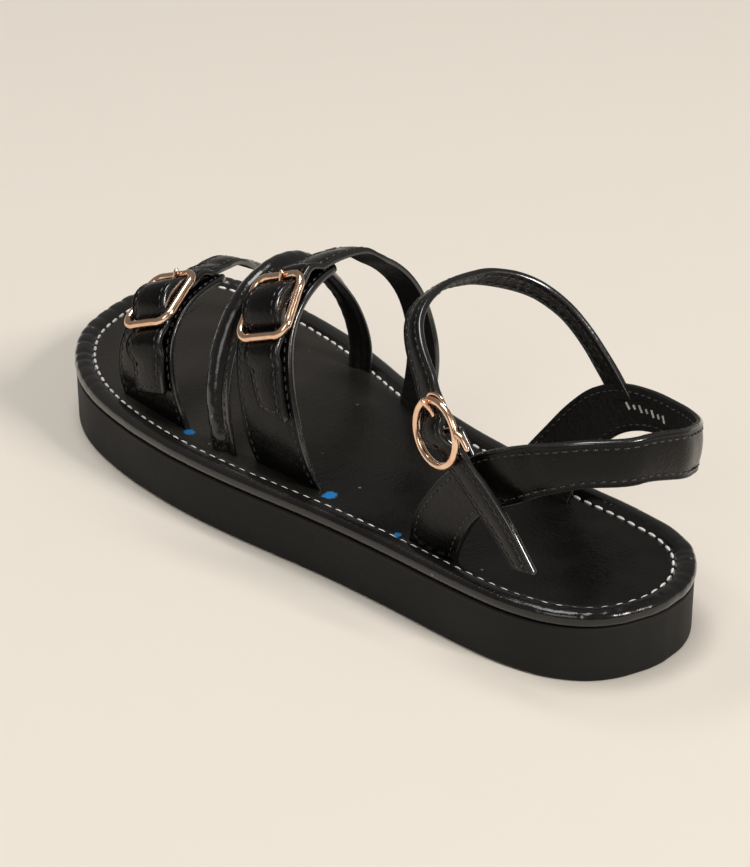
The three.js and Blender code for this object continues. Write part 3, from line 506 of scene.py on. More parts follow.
def seat_on(form: FootForm, table: Sequence[Sequence[float]],
            place: tuple[float, float]) -> Seat:
    """Seat of a rectangular buckle, clear of the anchor piece under it.

    Args:
        form: the foot form.
        table: the strap's table.
        place: x and u of the buckle's middle.

    Returns:
        The seat.
    """
    edge = SmoothTable(table)
    x0, u0 = place
    radius = BUCKLE_WIRE / 2

    def at(u: float) -> Array:
        """Middle of the strap at u."""
        f, r, _ = edge.at(u)
        return form.on((f + r) / 2, u)

    f, r, skew = edge.at(u0)
    centre = at(u0)
    width = unit(form.on(f, u0 - skew / 2) - form.on(r, u0 + skew / 2))
    reach = BUCKLE_LENGTH / 2 - radius
    up = down = u0
    while np.linalg.norm(at(up) - centre) < reach:
        up += 0.001
    while np.linalg.norm(at(down) - centre) < reach:
        down -= 0.001
    along, normal = squared(unit(at(up) - at(down)), width, form.normal(x0, u0))
    rise = -1e9
    for i in range(-8, 9):
        for j in range(-8, 9):
            x, u = x0 + i / 8 * BUCKLE_WIDTH / 2, u0 + j / 8 * (up - u0)
            p = form.on(x, u) + form.normal(x, u) * ANCHOR_LEATHER - centre
            h, a = float(p @ normal), abs(float(p @ along))
            if a > reach + radius:
                continue
            under_bar = BAR_DROP + BAR_RADIUS if a < 1.5 else radius
            rise = max(rise, h + LAYER_GAP + under_bar,
                       h + LAYER_GAP - hump_height(a, radius, LEATHER, HUMP_REACH))
    return Seat(centre + normal * rise, width, along, normal, reach, radius, HUMP_REACH,
                bulge=2.3)


def ring_seat() -> Seat:
    """Seat of the round buckle on the ankle strap."""
    f, r = SmoothTable(ANKLE_FRONT_EDGE), SmoothTable(ANKLE_REAR_EDGE)
    mid = lambda s: (f.at(s) + r.at(s)) / 2
    width = unit(f.at(RING_AT) - r.at(RING_AT))
    along, normal = squared(unit(mid(RING_AT - 0.055) - mid(RING_AT + 0.055)), width,
                            np.array((0, 1, 0)))
    radius = RING_WIRE / 2
    origin = mid(RING_AT) + normal * (radius + THREAD_GAP + 0.2)
    return Seat(origin, width, along, normal, RING_DIAMETER / 2 - radius, radius,
                RING_HUMP_REACH)


def threaded(band: Band, seat: Seat, thickness: float) -> Band:
    """Band pushed so that it passes under a frame's ends and over its centre bar.

    Args:
        band: the band.
        seat: the buckle's seat.
        thickness: of the leather.

    Returns:
        The band, its inner face now at height 0.
    """
    edges = []
    for line in (band.front, band.rear):
        p = line + band.normal * band.inside[:, None]
        q = p - seat.origin
        d = q @ seat.along
        w = np.array([1 - smooth((abs(v) - seat.reach - FRAME_CLEAR) / FRAME_FADE)
                      for v in d])
        w[np.linalg.norm(q, axis=1) > seat.reach + FRAME_REACH] = 0
        goal = np.array([hump_height(v, seat.radius, thickness, seat.hump) for v in d])
        push = w * (goal - q @ seat.normal) / (band.normal @ seat.normal + 1e-9)
        push[w == 0] = 0
        edges.append(p + band.normal * push[:, None])
    pad = seat.bulge * np.exp(-(((d - PAD_AT) / (seat.hump * PAD_SHARE)) ** 4)) * (w > 0)
    return Band(edges[0], edges[1], band.normal, np.zeros(len(p)),
                band.outside - band.inside + pad).renormalled()


# ------------------------------------------------------------------ hands in the workshop
def deselect() -> None:
    """Leaves nothing selected, in object mode."""
    if bpy.context.object and bpy.context.object.mode != "OBJECT":
        bpy.ops.object.mode_set(mode="OBJECT")
    bpy.ops.object.select_all(action="DESELECT")


def take(*objects: bpy.types.Object) -> bpy.types.Object:
    """Selects only these objects and makes the first one active.

    Args:
        objects: what to select.

    Returns:
        The active one.
    """
    deselect()
    for o in objects:
        o.select_set(True)
    bpy.context.view_layer.objects.active = objects[0]
    return objects[0]


def settle(piece: bpy.types.Object) -> bpy.types.Object:
    """Puts a piece's place into its mesh."""
    take(piece)
    bpy.ops.object.transform_apply(location=True, rotation=True, scale=True)
    return piece


def joined(name: str, parts: Sequence[bpy.types.Object]) -> bpy.types.Object:
    """Joins objects into one named piece and puts its place into its mesh."""
    take(*parts)
    bpy.ops.object.join()
    piece = settle(bpy.context.object)
    piece.name = piece.data.name = name
    return piece


def pose(x: Array, y: Array, z: Array, at: Array) -> Matrix:
    """Matrix with the given axes, at a point in millimetres."""
    place = (at + SHIFT) * MM
    return Matrix([(x[a], y[a], z[a], place[a]) for a in range(3)] + [(0, 0, 0, 1)])


def face_places(piece: bpy.types.Object, axis: int) -> list[float]:
    """Middle of each face on one axis of the sheet that it was bent from, 0 to 1."""
    layer = piece.data.uv_layers.active.data
    return [sum(layer[k].uv[axis] for k in face.loop_indices) / len(face.loop_indices)
            for face in piece.data.polygons]


def smooth_faces(piece: bpy.types.Object, degrees: float = 40) -> None:
    """Shades a piece smooth, with sharp edges above an angle."""
    take(piece)
    bpy.ops.object.shade_smooth_by_angle(angle=math.radians(degrees))


def punch(piece: bpy.types.Object, at: Array, direction: Array, radius: float) -> None:
    """Punches a round hole through a strap.

    Args:
        piece: the strap.
        at: middle of the hole in millimetres.
        direction: of the punch.
        radius: of the hole in millimetres.
    """
    deselect()
    bpy.ops.mesh.primitive_cylinder_add(vertices=20, radius=radius * MM, depth=7 * MM)
    tool = bpy.context.object
    tool.rotation_euler = Vector(direction).to_track_quat("Z", "Y").to_euler()
    tool.location = Vector(at + SHIFT) * MM
    settle(tool)
    take(piece)
    modifier = piece.modifiers.new("Punch", "BOOLEAN")
    modifier.operation, modifier.solver, modifier.object = "DIFFERENCE", "EXACT", tool
    bpy.ops.object.modifier_apply(modifier=modifier.name)
    bpy.data.objects.remove(tool)


def sheet_of(name: str, points: Array, wrap: bool, cap: bool = False,
             ring: bool = False) -> bpy.types.Object:
    """A flat grid of leather, bent to rows of points.

    Args:
        name: of the piece.
        points: rows by columns by x, y, z in millimetres.
        wrap: whether each row closes on itself.
        cap: whether the first and last rows are closed with a face.
        ring: whether the last row joins the first.

    Returns:
        The piece.
    """
    if wrap:
        points = np.concatenate([points, points[:, :1]], axis=1)
    if ring:
        points = np.concatenate([points, points[:1]], axis=0)
    rows, columns = points.shape[:2]
    deselect()
    bpy.ops.mesh.primitive_grid_add(x_subdivisions=columns - 1, y_subdivisions=rows - 1,
                                    size=2, calc_uvs=True)
    piece = bpy.context.object
    piece.name = piece.data.name = name
    flat = np.zeros(len(piece.data.vertices) * 3)
    piece.data.vertices.foreach_get("co", flat)
    flat = flat.reshape(-1, 3)
    column = np.rint((flat[:, 0] + 1) / 2 * (columns - 1)).astype(int)
    row = np.rint((flat[:, 1] + 1) / 2 * (rows - 1)).astype(int)
    piece.data.vertices.foreach_set("co", ((points[row, column] + SHIFT) * MM).ravel())
    bpy.ops.object.mode_set(mode="EDIT")
    bpy.ops.mesh.select_all(action="SELECT")
    bpy.ops.mesh.remove_doubles(threshold=2e-6)
    if cap:
        bpy.ops.mesh.select_all(action="DESELECT")
        bpy.ops.mesh.select_non_manifold(extend=False)
        bpy.ops.mesh.fill_holes(sides=0)
    bpy.ops.mesh.select_all(action="SELECT")
    bpy.ops.mesh.normals_make_consistent(inside=False)
    bpy.ops.object.mode_set(mode="OBJECT")
    return piece


# distances from a strap's edge at which its section has a point
EDGE_POINTS = np.array((0, 0.06, 0.2, 0.42, 0.7, 0.95, 1.15, 1.35, 1.55, 1.8, 2.1, 2.4, 2.8))
LINING_POINTS = np.array((0.0, 0.12, 0.5, 1.6))


class Face(Enum):
    """Material places of a strap, in the order of its slots."""

    LEATHER = 0
    EDGE = 1
    LINING = 2


@dataclass
class StrapCut:
    """How a strap's leather is finished along its edges and ends."""

    edge_radius: float = 0.8
    lining_radius: float = 0.35
    groove: float = 0.2          # creased line just inside the edge
    groove_at: float = 1.25
    groove_width: float = 0.26
    channel: float = 0.14        # soft trough that the stitching lies in
    channel_width: float = 0.42
    crown: float = 0.25          # padding in the middle
    crown_from: float = 2.6
    end_corner: float = 1.2      # rounded corners of its last end
    start_corner: float = 0.0
    creases: tuple[tuple[float, float, float], ...] = ()   # distance, depth, half-length

    def top(self, d: Array, w: float) -> Array:
        """Height lost or gained on the outer face.

        Args:
            d: distances from the nearer edge.
            w: width of the strap.

        Returns:
            Heights against the plain outer face.
        """
        r = self.edge_radius
        edge = np.where(d < r, np.sqrt(np.maximum(r * r - (r - d) ** 2, 0)) - r, 0)
        groove = -self.groove * np.exp(-(((d - self.groove_at) / self.groove_width) ** 2))
        channel = -self.channel * np.exp(-(((d - STITCH_INSET) / self.channel_width) ** 2))
        inner = np.clip((d - self.crown_from) / max(w / 2 - self.crown_from, 0.5), 0, 1)
        return edge + groove + channel + self.crown * inner * (2 - inner)


class Strap:
    """One strap of lined leather: its mesh and the paths that its stitching follows."""

    def __init__(self, name: str, band: Band, cut: StrapCut, spacing: float = 0.8) -> None:
        """Respaces the band.

        Args:
            name: of the piece.
            band: its rows.
            cut: how its edges are finished.
            spacing: distance between rows.
        """
        self.name = name
        self.cut = cut
        self.band = band.respaced(spacing)
        self.run = self.band.run()

    def _ends(self, i: int) -> tuple[float, float]:
        """Share of the thickness left and width lost at row i, near the strap's ends."""
        r = 0.9
        e = min(self.run[i], self.run[-1] - self.run[i])
        k = math.sqrt(max(1 - max((r - e) / r, 0) ** 2, 0.0))
        corner = self.cut.start_corner if e == self.run[i] else self.cut.end_corner
        lost = 0.0
        if e < corner:
            lost = corner - math.sqrt(max(corner**2 - (corner - e) ** 2, 0))
        return max(k, 0.12), lost + 0.5 * (1 - k)

    def section(self, i: int) -> Array:
        """Points round the section at row i.

        Args:
            i: the row.

        Returns:
            Points from the front edge over the outer face and back under the lining.
        """
        b, c = self.band, self.cut
        k, lost = self._ends(i)
        front, rear = b.front[i], b.rear[i]
        across = rear - front
        w_all = float(np.linalg.norm(across))
        across = across / w_all
        front = front + across * lost
        w = w_all - 2 * lost
        near = EDGE_POINTS * min(1, w / 2 / 3.4)
        middle = np.linspace(near[-1], w - near[-1], 7)[1:-1]
        s_top = np.concatenate([near, middle, (w - near)[::-1]])
        h_top = b.outside[i] + c.top(np.minimum(s_top, w - s_top), w)
        for at, depth, half in c.creases:
            slant = (s_top / w - 0.5) * half
            h_top = h_top - depth * np.exp(-(((self.run[i] - at + slant) / half) ** 2))
        low = LINING_POINTS
        s_low = np.concatenate([(w - low), [w / 2], low[::-1]])
        drop = np.array((c.lining_radius, 0.1, 0, 0))
        h_low = b.inside[i] + np.concatenate([drop, [0], drop[::-1]])
        s, h = np.concatenate([s_top, s_low]), np.concatenate([h_top, h_low])
        mid = (b.inside[i] + b.outside[i]) / 2
        h = mid + (h - mid) * k
        return front + across * s[:, None] + b.normal[i] * h[:, None]

    def build(self) -> bpy.types.Object:
        """Makes the mesh, its faces sorted by Face."""
        points = np.array([self.section(i) for i in range(len(self.run))])
        piece = sheet_of(self.name, points, wrap=True, cap=True)
        top = 2 * len(EDGE_POINTS) + 5
        column_of = np.array(
            [Face.EDGE.value if k < 3 or top - 4 <= k < top + 1
             else Face.LEATHER.value if k < top else Face.LINING.value
             for k in range(points.shape[1])])
        columns = points.shape[1]
        for face, u in zip(piece.data.polygons, face_places(piece, 0)):
            face.material_index = (Face.EDGE.value if len(face.vertices) > 4 else
                                   int(column_of[min(int(u * columns), columns - 1)]))
        smooth_faces(piece, 60)
        return piece

    def surface(self, i: float, d: float, lining: bool = False) -> tuple[Array, Array]:
        """Point of the outer face or the lining and its direction.

        Args:
            i: row, which may be between two.
            d: distance from the front edge, or from the rear edge if negative.
            lining: whether the point lies on the lining.

        Returns:
            The point and the outward direction.
        """
        b = self.band
        lo = int(min(max(math.floor(i), 0), len(self.run) - 2))
        t = i - lo
        mix = lambda a: a[lo] * (1 - t) + a[lo + 1] * t
        front, rear, n = mix(b.front), mix(b.rear), unit(mix(b.normal))
        across = rear - front
        w = float(np.linalg.norm(across))
        s = d if d >= 0 else w + d
        if lining:
            return front + across / w * s + n * mix(b.inside), -n
        h = mix(b.outside) + float(self.cut.top(np.array([min(s, w - s)]), w)[0])
        return front + across / w * s + n * h, n

    def row_at(self, distance: float) -> float:
        """Row at a distance along the strap; negative counts from its end."""
        d = distance if distance >= 0 else self.run[-1] + distance
        return float(np.interp(d, self.run, np.arange(len(self.run))))

    def seam(self, start: float, stop: float, close_end: bool = True, lining: bool = False
             ) -> list[tuple[Array, Array]]:
        """Path of a seam down one edge, across the end and back up the other.

        Args:
            start: distance along the strap where it begins.
            stop: where it turns; negative counts from the end.
            close_end: whether it crosses the end.
            lining: whether it shows on the lining.

        Returns:
            Points and outward directions.
        """
        inset = STITCH_INSET
        a, b = self.row_at(start), self.row_at(stop)
        rows = np.arange(a, b, 0.5)
        down = [self.surface(i, inset, lining) for i in rows]
        back = [self.surface(i, -inset, lining) for i in rows[::-1]]
        if not close_end:
            return down + back
        w = float(np.linalg.norm(self.band.rear[int(b)] - self.band.front[int(b)]))
        end = [self.surface(b, d) for d in np.arange(inset, w - inset, 0.4)]
        return down + end + back


# ------------------------------------------------------------------ stitching
@dataclass(frozen=True)
class Thread:
    """Sewing thread: one stitch's length, width and height."""

    pitch: float
    length: float
    width: float
    height: float

    def sew(self, name: str, seams: Sequence[Sequence[tuple[Array, Array]]],
            seed: int = 1) -> bpy.types.Object:
        """Lays stitches along seams.

        Args:
            name: of the joined piece.
            seams: points and outward directions of each run of stitching.
            seed: of the small unevenness from stitch to stitch.

        Returns:
            All the stitches as one piece.
        """
        rng = random.Random(seed)
        deselect()
        bpy.ops.mesh.primitive_uv_sphere_add(segments=8, ring_count=6, radius=0.5 * MM)
        pattern = bpy.context.object
        pattern.scale = (self.length, self.width, self.height)
        settle(pattern)
        pattern.data.polygons.foreach_set("use_smooth", [True] * len(pattern.data.polygons))
        copies = []
        for seam in seams:
            p, n = (np.array([q[k] for q in seam]) for k in (0, 1))
            run = run_of(p)
            count = max(int(run[-1] / self.pitch), 1)
            for k in range(count):
                mid = (k + 0.5) * run[-1] / count
                ends = [read_at(mid + o, run, p) for o in (-self.length / 2, self.length / 2)]
                up = unit(read_at(mid, run, n))
                along = unit(ends[1] - ends[0])
                side = unit(np.cross(up, along))
                up = np.cross(along, side)
                turn = rng.uniform(-0.05, 0.05)
                along, side = along + side * turn, side - along * turn
                place = (ends[0] + ends[1]) / 2 + up * rng.uniform(-0.02, 0.05)
                copy = pattern.copy()
                copy.data = pattern.data.copy()
                bpy.context.collection.objects.link(copy)
                copy.matrix_world = pose(along, side, up, place)
                copies.append(copy)
        bpy.data.objects.remove(pattern)
        return joined(name, copies)


STRAP_THREAD = Thread(STITCH_PITCH, 1.9, 0.62, 0.7)
BED_THREAD = Thread(BED_PITCH, 3.1, 0.98, 0.95)


# ------------------------------------------------------------------ finishes
class Bench:
    """Adds and joins the nodes of one shader tree."""

    def __init__(self, tree: bpy.types.NodeTree) -> None:
        """Starts on an empty tree."""
        self.tree = tree
        self.material: bpy.types.Material | None = None

    def add(self, kind: str, sockets: dict[str, object] | None = None,
            **settings: object) -> bpy.types.Node:
        """Adds a node.

        Args:
            kind: the node's class name without ShaderNode.
            sockets: values or other nodes' outputs for its inputs.
            settings: its own properties.

        Returns:
            The node.
        """
        node = self.tree.nodes.new("ShaderNode" + kind)
        node.location = (220 * len(self.tree.nodes) - 1600, 0)
        for name, value in settings.items():
            setattr(node, name, value)
        self.feed(node, sockets or {})
        return node

    def feed(self, node: bpy.types.Node, sockets: dict[str, object]) -> None:
        """Gives a node's inputs their values or the outputs that they follow."""
        for name, value in sockets.items():
            socket = node.inputs[int(name)] if name.isdigit() else node.inputs[name]
            if isinstance(value, bpy.types.NodeSocket):
                self.tree.links.new(value, socket)
            else:
                socket.default_value = value

    def ramp(self, value: bpy.types.NodeSocket, low: float, high: float,
             to_low: float = 0.0, to_high: float = 1.0) -> bpy.types.NodeSocket:
        """A value moved smoothly from one range to another."""
        node = self.add("MapRange", {"Value": value, "From Min": low, "From Max": high,
                                     "To Min": to_low, "To Max": to_high},
                        interpolation_type="SMOOTHSTEP")
        return node.outputs["Result"]

    def math(self, operation: str, a: object, b: object) -> bpy.types.NodeSocket:
        """The result of a sum on two values."""
        return self.add("Math", {"0": a, "1": b}, operation=operation).outputs[0]

    def total(self, *terms: tuple[object, object]) -> bpy.types.NodeSocket:
        """The sum of values, each times its weight."""
        parts = [self.math("MULTIPLY", *term) for term in terms]
        whole = parts[0]
        for part in parts[1:]:
            whole = self.math("ADD", whole, part)
        return whole

    def blend(self, share: object, a: object, b: object) -> bpy.types.NodeSocket:
        """Color a turned into color b by share."""
        a, b = (c if isinstance(c, bpy.types.NodeSocket) else (*c, 1) for c in (a, b))
        return self.add("Mix", {"0": share, "6": a, "7": b}, data_type="RGBA").outputs[2]


class Groups:
    """Effects that several finishes share, each a node group built once."""

    @staticmethod
    def _new(name: str, inputs: dict[str, float], outputs: Sequence[str]
             ) -> tuple[Bench, bpy.types.Node, bpy.types.Node]:
        """A new group with a Vector input, number inputs and number outputs."""
        tree = bpy.data.node_groups.new(name, "ShaderNodeTree")
        tree.interface.new_socket("Vector", in_out="INPUT", socket_type="NodeSocketVector")
        for key, value in inputs.items():
            socket = tree.interface.new_socket(key, in_out="INPUT",
                                               socket_type="NodeSocketFloat")
            socket.default_value = value
        for key in outputs:
            tree.interface.new_socket(key, in_out="OUTPUT", socket_type="NodeSocketFloat")
        return Bench(tree), tree.nodes.new("NodeGroupInput"), tree.nodes.new("NodeGroupOutput")

    @staticmethod
    @cache
    def grain() -> bpy.types.NodeTree:
        """Leather grain: height of pebbles and fine creases, and slow mottling."""
        b, given, out = Groups._new("leather_grain", {"Pebble": 1100.0}, ("Height", "Mottle"))
        v = given.outputs["Vector"]
        warp = b.add("TexNoise", {"Vector": v, "Scale": 90.0, "Detail": 2.0})
        bent = b.add("MixRGB", {"Fac": 0.004, "Color1": v, "Color2": warp.outputs["Color"]},
                     blend_type="ADD")
        cells = b.add("TexVoronoi", {"Vector": bent.outputs[0],
                                     "Scale": given.outputs["Pebble"]},
                      feature="SMOOTH_F1")
        fine = b.add("TexNoise", {"Vector": v, "Scale": 3200.0, "Detail": 3.0})
        lines = b.add("TexNoise", {"Vector": bent.outputs[0], "Scale": 160.0, "Detail": 6.0,
                                   "Roughness": 0.62, "Distortion": 0.7})
        crease = b.ramp(b.math("ABSOLUTE", b.math("SUBTRACT", lines.outputs["Fac"], 0.5),
                               0.0), 0.0, 0.09)
        pebbles = b.ramp(cells.outputs["Distance"], 0.1, 0.75, 1.0, 0.0)
        height = b.total((pebbles, 0.55), (fine.outputs["Fac"], 0.2), (crease, 0.25))
        slow = b.add("TexNoise", {"Vector": v, "Scale": 46.0, "Detail": 4.0,
                                  "Roughness": 0.6})
        b.feed(out, {"Height": height, "Mottle": b.ramp(slow.outputs["Fac"], 0.32, 0.68)})
        return b.tree

    @staticmethod
    @cache
    def dust() -> bpy.types.NodeTree:
        """Sparse specks of dust and small scuffs, each a mask."""
        b, given, out = Groups._new("dust_and_scuffs", {"Scale": 420.0, "Share": 0.04},
                                    ("Specks", "Scuffs"))
        v = given.outputs["Vector"]
        cells = b.add("TexVoronoi", {"Vector": v, "Scale": given.outputs["Scale"]})
        chosen = b.math("LESS_THAN", b.add("SeparateColor", {
            "Color": cells.outputs["Color"]}).outputs[0], given.outputs["Share"])
        dots = b.ramp(cells.outputs["Distance"], 0.1, 0.24, 1.0, 0.0)
        long = b.add("Mapping", {"Vector": v, "Scale": (60.0, 240.0, 420.0),
                                 "Rotation": (0.2, 0.1, 0.6)})
        marks = b.add("TexNoise", {"Vector": long.outputs[0], "Scale": 1.0, "Detail": 5.0,
                                   "Roughness": 0.7})
        b.feed(out, {"Specks": b.math("MULTIPLY", chosen, dots),
                     "Scuffs": b.ramp(marks.outputs["Fac"], 0.64, 0.74)})
        return b.tree


@dataclass(frozen=True)
class Finish:
    """What every finish has: a name and a Principled shader set up from its fields."""

    name: str

    def start(self) -> tuple[Bench, bpy.types.Node, bpy.types.NodeSocket]:
        """A new material.

        Returns:
            Its bench, its Principled shader and the Object coordinates.
        """
        material = bpy.data.materials.new(self.name)
        material.use_nodes = True
        bench = Bench(material.node_tree)
        bench.material = material
        shader = material.node_tree.nodes["Principled BSDF"]
        coordinates = bench.add("TexCoord").outputs["Object"]
        return bench, shader, coordinates

    def bump(self, bench: Bench, shader: bpy.types.Node, height: bpy.types.NodeSocket,
             depth: float, strength: float = 1.0) -> None:
        """Feeds a height, in the depth given in metres, to the shader."""
        node = bench.add("Bump", {"Height": height, "Distance": depth,
                                  "Strength": strength})
        bench.feed(shader, {"Normal": node.outputs[0]})


@dataclass(frozen=True)
class Leather(Finish):
    """Dyed leather: grain, mottled dye, gloss that varies, light scuffs, and an optional
    painted sheen that lightens it toward the toe.
    """

    dark: Color
    light: Color
    gloss: tuple[float, float] = (0.34, 0.46)
    pebble: float = 1100.0
    depth: float = 0.00008
    coat: float = 0.12
    specular: float = 0.32
    scuff: Color = (0.09, 0.085, 0.08)
    wear: float = 0.25
    # toe: colour of a painted sheen, blended in more strongly toward the toe; None paints no
    # light
    toe: Color | None = None
    spots: tuple[tuple[float, float, float, float], ...] = ()
    ink: Color = (0.015, 0.16, 0.42)

    def build(self) -> bpy.types.Material:
        """Makes the material."""
        b, shader, v = self.start()
        grain = b.add("Group", {"Vector": v, "Pebble": self.pebble}, node_tree=Groups.grain())
        dust = b.add("Group", {"Vector": v, "Scale": 380.0, "Share": 0.012},
                     node_tree=Groups.dust())
        color = b.blend(grain.outputs["Mottle"], self.dark, self.light)
        # painted sheen: the colour is lightened toward the toe (larger x), standing in for
        # light falling on the front of the piece
        if self.toe:
            along = b.add("SeparateXYZ", {"Vector": v}).outputs["X"]
            color = b.blend(b.ramp(along, -0.06, 0.075, 0.0, 0.85), color, self.toe)
        scuffs = b.math("MULTIPLY", dust.outputs["Scuffs"], self.wear)
        color = b.blend(scuffs, color, self.scuff)
        color = b.blend(b.math("MULTIPLY", dust.outputs["Specks"], 0.5), color,
                        (0.3, 0.29, 0.27))
        if self.spots:
            color = self._inked(b, v, color)
        rough = b.ramp(grain.outputs["Mottle"], 0.0, 1.0, *self.gloss)
        rough = b.math("ADD", rough, b.math("MULTIPLY", scuffs, 0.3))
        b.feed(shader, {"Base Color": color, "Roughness": rough, "Coat Weight": self.coat,
                        "Coat Roughness": 0.16, "Specular IOR Level": self.specular})
        self.bump(b, shader, grain.outputs["Height"], self.depth)
        return b.material

    def _inked(self, b: Bench, v: bpy.types.NodeSocket,
               color: bpy.types.NodeSocket) -> bpy.types.NodeSocket:
        """Small marker-pen spots with ragged edges, at x, y, z and radius in millimetres."""
        ragged = b.add("TexNoise", {"Vector": v, "Scale": 700.0, "Detail": 3.0})
        for *place, radius in self.spots:
            away = b.add("VectorMath", {"0": v, "1": Vector(place + SHIFT) * MM},
                         operation="DISTANCE").outputs["Value"]
            edge = b.math("MULTIPLY", ragged.outputs["Fac"], radius * 1.1 * MM)
            inside = b.ramp(b.math("ADD", away, edge), radius * 1.2 * MM,
                            radius * 1.5 * MM, 1.0, 0.0)
            color = b.blend(inside, color, self.ink)
        return color


@dataclass(frozen=True)
class Rubber(Finish):
    """Moulded foam rubber: fine skin, faint flow marks, dust caught on the wall."""

    dark: Color = (0.006, 0.0058, 0.0056)
    light: Color = (0.0092, 0.0088, 0.0084)

    def build(self) -> bpy.types.Material:
        """Makes the material."""
        b, shader, v = self.start()
        slow = b.add("TexNoise", {"Vector": v, "Scale": 30.0, "Detail": 5.0})
        skin = b.add("TexNoise", {"Vector": v, "Scale": 2600.0, "Detail": 2.0})
        pores = b.add("TexVoronoi", {"Vector": v, "Scale": 1500.0})
        dust = b.add("Group", {"Vector": v, "Scale": 260.0, "Share": 0.03},
                     node_tree=Groups.dust())
        color = b.blend(b.ramp(slow.outputs["Fac"], 0.35, 0.65), self.dark, self.light)
        color = b.blend(b.math("MULTIPLY", dust.outputs["Scuffs"], 0.22), color,
                        (0.07, 0.068, 0.065))
        color = b.blend(b.math("MULTIPLY", dust.outputs["Specks"], 0.75), color,
                        (0.36, 0.35, 0.33))
        height = b.total((skin.outputs["Fac"], 0.05),
                         (b.ramp(pores.outputs["Distance"], 0, 0.4), 0.04),
                         self._tread(b, v))
        b.feed(shader, {"Base Color": color, "Specular IOR Level": 0.25,
                        "Roughness": b.ramp(slow.outputs["Fac"], 0.3, 0.7, 0.56, 0.68)})
        self.bump(b, shader, height, 0.0009)
        return b.material

    @staticmethod
    def _tread(b: Bench, v: bpy.types.NodeSocket
               ) -> tuple[bpy.types.NodeSocket, bpy.types.NodeSocket]:
        """Waved ribs across the bottom, and the mask of the faces that point down."""
        bent = b.add("SeparateXYZ", {"Vector": v})
        sway = b.math("MULTIPLY", b.math("SINE", b.math("MULTIPLY", bent.outputs["Y"],
                                                        420.0), 0.0), 0.0016)
        ribs = b.math("SINE", b.math("MULTIPLY", b.math("ADD", bent.outputs["X"], sway),
                                     1250.0), 0.0)
        normal = b.add("NewGeometry").outputs["Normal"]
        down = b.add("SeparateXYZ", {"Vector": normal}).outputs["Z"]
        return b.ramp(ribs, -0.5, 0.4), b.math("LESS_THAN", down, -0.9)


@dataclass(frozen=True)
class Metal(Finish):
    """Plated metal with faint tarnish and hairline scratches."""

    plate: Color = (0.97, 0.68, 0.49)
    warm: Color = (0.9, 0.56, 0.38)

    def build(self) -> bpy.types.Material:
        """Makes the material."""
        b, shader, v = self.start()
        slow = b.add("TexNoise", {"Vector": v, "Scale": 240.0, "Detail": 3.0})
        long = b.add("Mapping", {"Vector": v, "Scale": (900.0, 900.0, 6000.0),
                                 "Rotation": (0.7, 0.4, 0.2)})
        lines = b.add("TexNoise", {"Vector": long.outputs[0], "Scale": 1.0, "Detail": 2.0})
        share = b.ramp(slow.outputs["Fac"], 0.35, 0.7)
        b.feed(shader, {"Base Color": b.blend(share, self.plate, self.warm), "Metallic": 1.0,
                        "Roughness": b.ramp(slow.outputs["Fac"], 0.3, 0.7, 0.12, 0.24)})
        self.bump(b, shader, lines.outputs["Fac"], 0.00002, 0.6)
        return b.material


@dataclass(frozen=True)
class Yarn(Finish):
    """Twisted sewing thread."""

    color: Color
    shade: Color
    roughness: float = 0.5

    def build(self) -> bpy.types.Material:
        """Makes the material."""
        b, shader, v = self.start()
        twist = b.add("TexWave", {"Vector": v, "Scale": 900.0, "Distortion": 1.5,
                                  "Detail": 1.0}, bands_direction="DIAGONAL")
        uneven = b.add("TexNoise", {"Vector": v, "Scale": 160.0, "Detail": 2.0})
        color = b.blend(b.ramp(uneven.outputs["Fac"], 0.35, 0.7), self.color, self.shade)
        b.feed(shader, {"Base Color": color, "Roughness": self.roughness})
        self.bump(b, shader, twist.outputs["Fac"], 0.00008)
        return b.material


class Finishes:
    """Every finish of the sandal, made once."""

    def __init__(self) -> None:
        """Builds the materials."""
        self.strap = Leather("cover_leather", (0.0022, 0.0021, 0.002), (0.0046, 0.0043, 0.004),
                             gloss=(0.23, 0.38), coat=0.08, specular=0.15).build()
        self.edge = Leather("edge_paint", (0.006, 0.006, 0.006), (0.01, 0.01, 0.01),
                            gloss=(0.16, 0.26), depth=0.00004, coat=0.9,
                            specular=0.5).build()
        self.lining = Leather("lining_leather", (0.0062, 0.0057, 0.005),
                              (0.0105, 0.0095, 0.0082), gloss=(0.42, 0.56), pebble=800.0,
                              depth=0.0002, coat=0.0, specular=0.25).build()
        self.rolled = Leather("rolled_leather", (0.0045, 0.0044, 0.0043),
                              (0.0075, 0.0072, 0.007), gloss=(0.12, 0.22), coat=0.8,
                              wear=0.06).build()
        # the footbed's own colours are kept dark so that the heel reads shaded, and its toe
        # colour paints a lighter sheen toward the toe
        self.bed = Leather("footbed_leather", (0.0026, 0.0023, 0.002),
                           (0.006, 0.0052, 0.0042), gloss=(0.27, 0.42), pebble=900.0,
                           depth=0.0001, coat=0.1, wear=0.1, specular=0.18,
                           toe=(0.031, 0.0275, 0.023),
                           spots=((36.3, 40.0, 20.6, 2.2), (-21.7, 31.7, 20.4, 2.6),
                                  (-52.0, 31.2, 20.4, 1.4))).build()
        # the rim's toe colour also paints a lighter sheen toward the toe
        self.rim = Leather("rim_leather", (0.004, 0.0038, 0.0035), (0.0075, 0.0069, 0.0061),
                           gloss=(0.16, 0.27), depth=0.00006, coat=0.45, wear=0.06,
                           toe=(0.015, 0.0135, 0.0115)).build()
        self.rubber = Rubber("sole_rubber").build()
        self.gold = Metal("rose_gold_plate").build()
        self.white = Yarn("white_thread", (0.85, 0.84, 0.81), (0.66, 0.65, 0.62), 0.6).build()
        self.black = Yarn("black_thread", (0.04, 0.04, 0.042), (0.018, 0.018, 0.018),
                          0.25).build()
        self.foil = Yarn("silver_foil", (0.78, 0.78, 0.76), (0.5, 0.5, 0.49), 0.35).build()


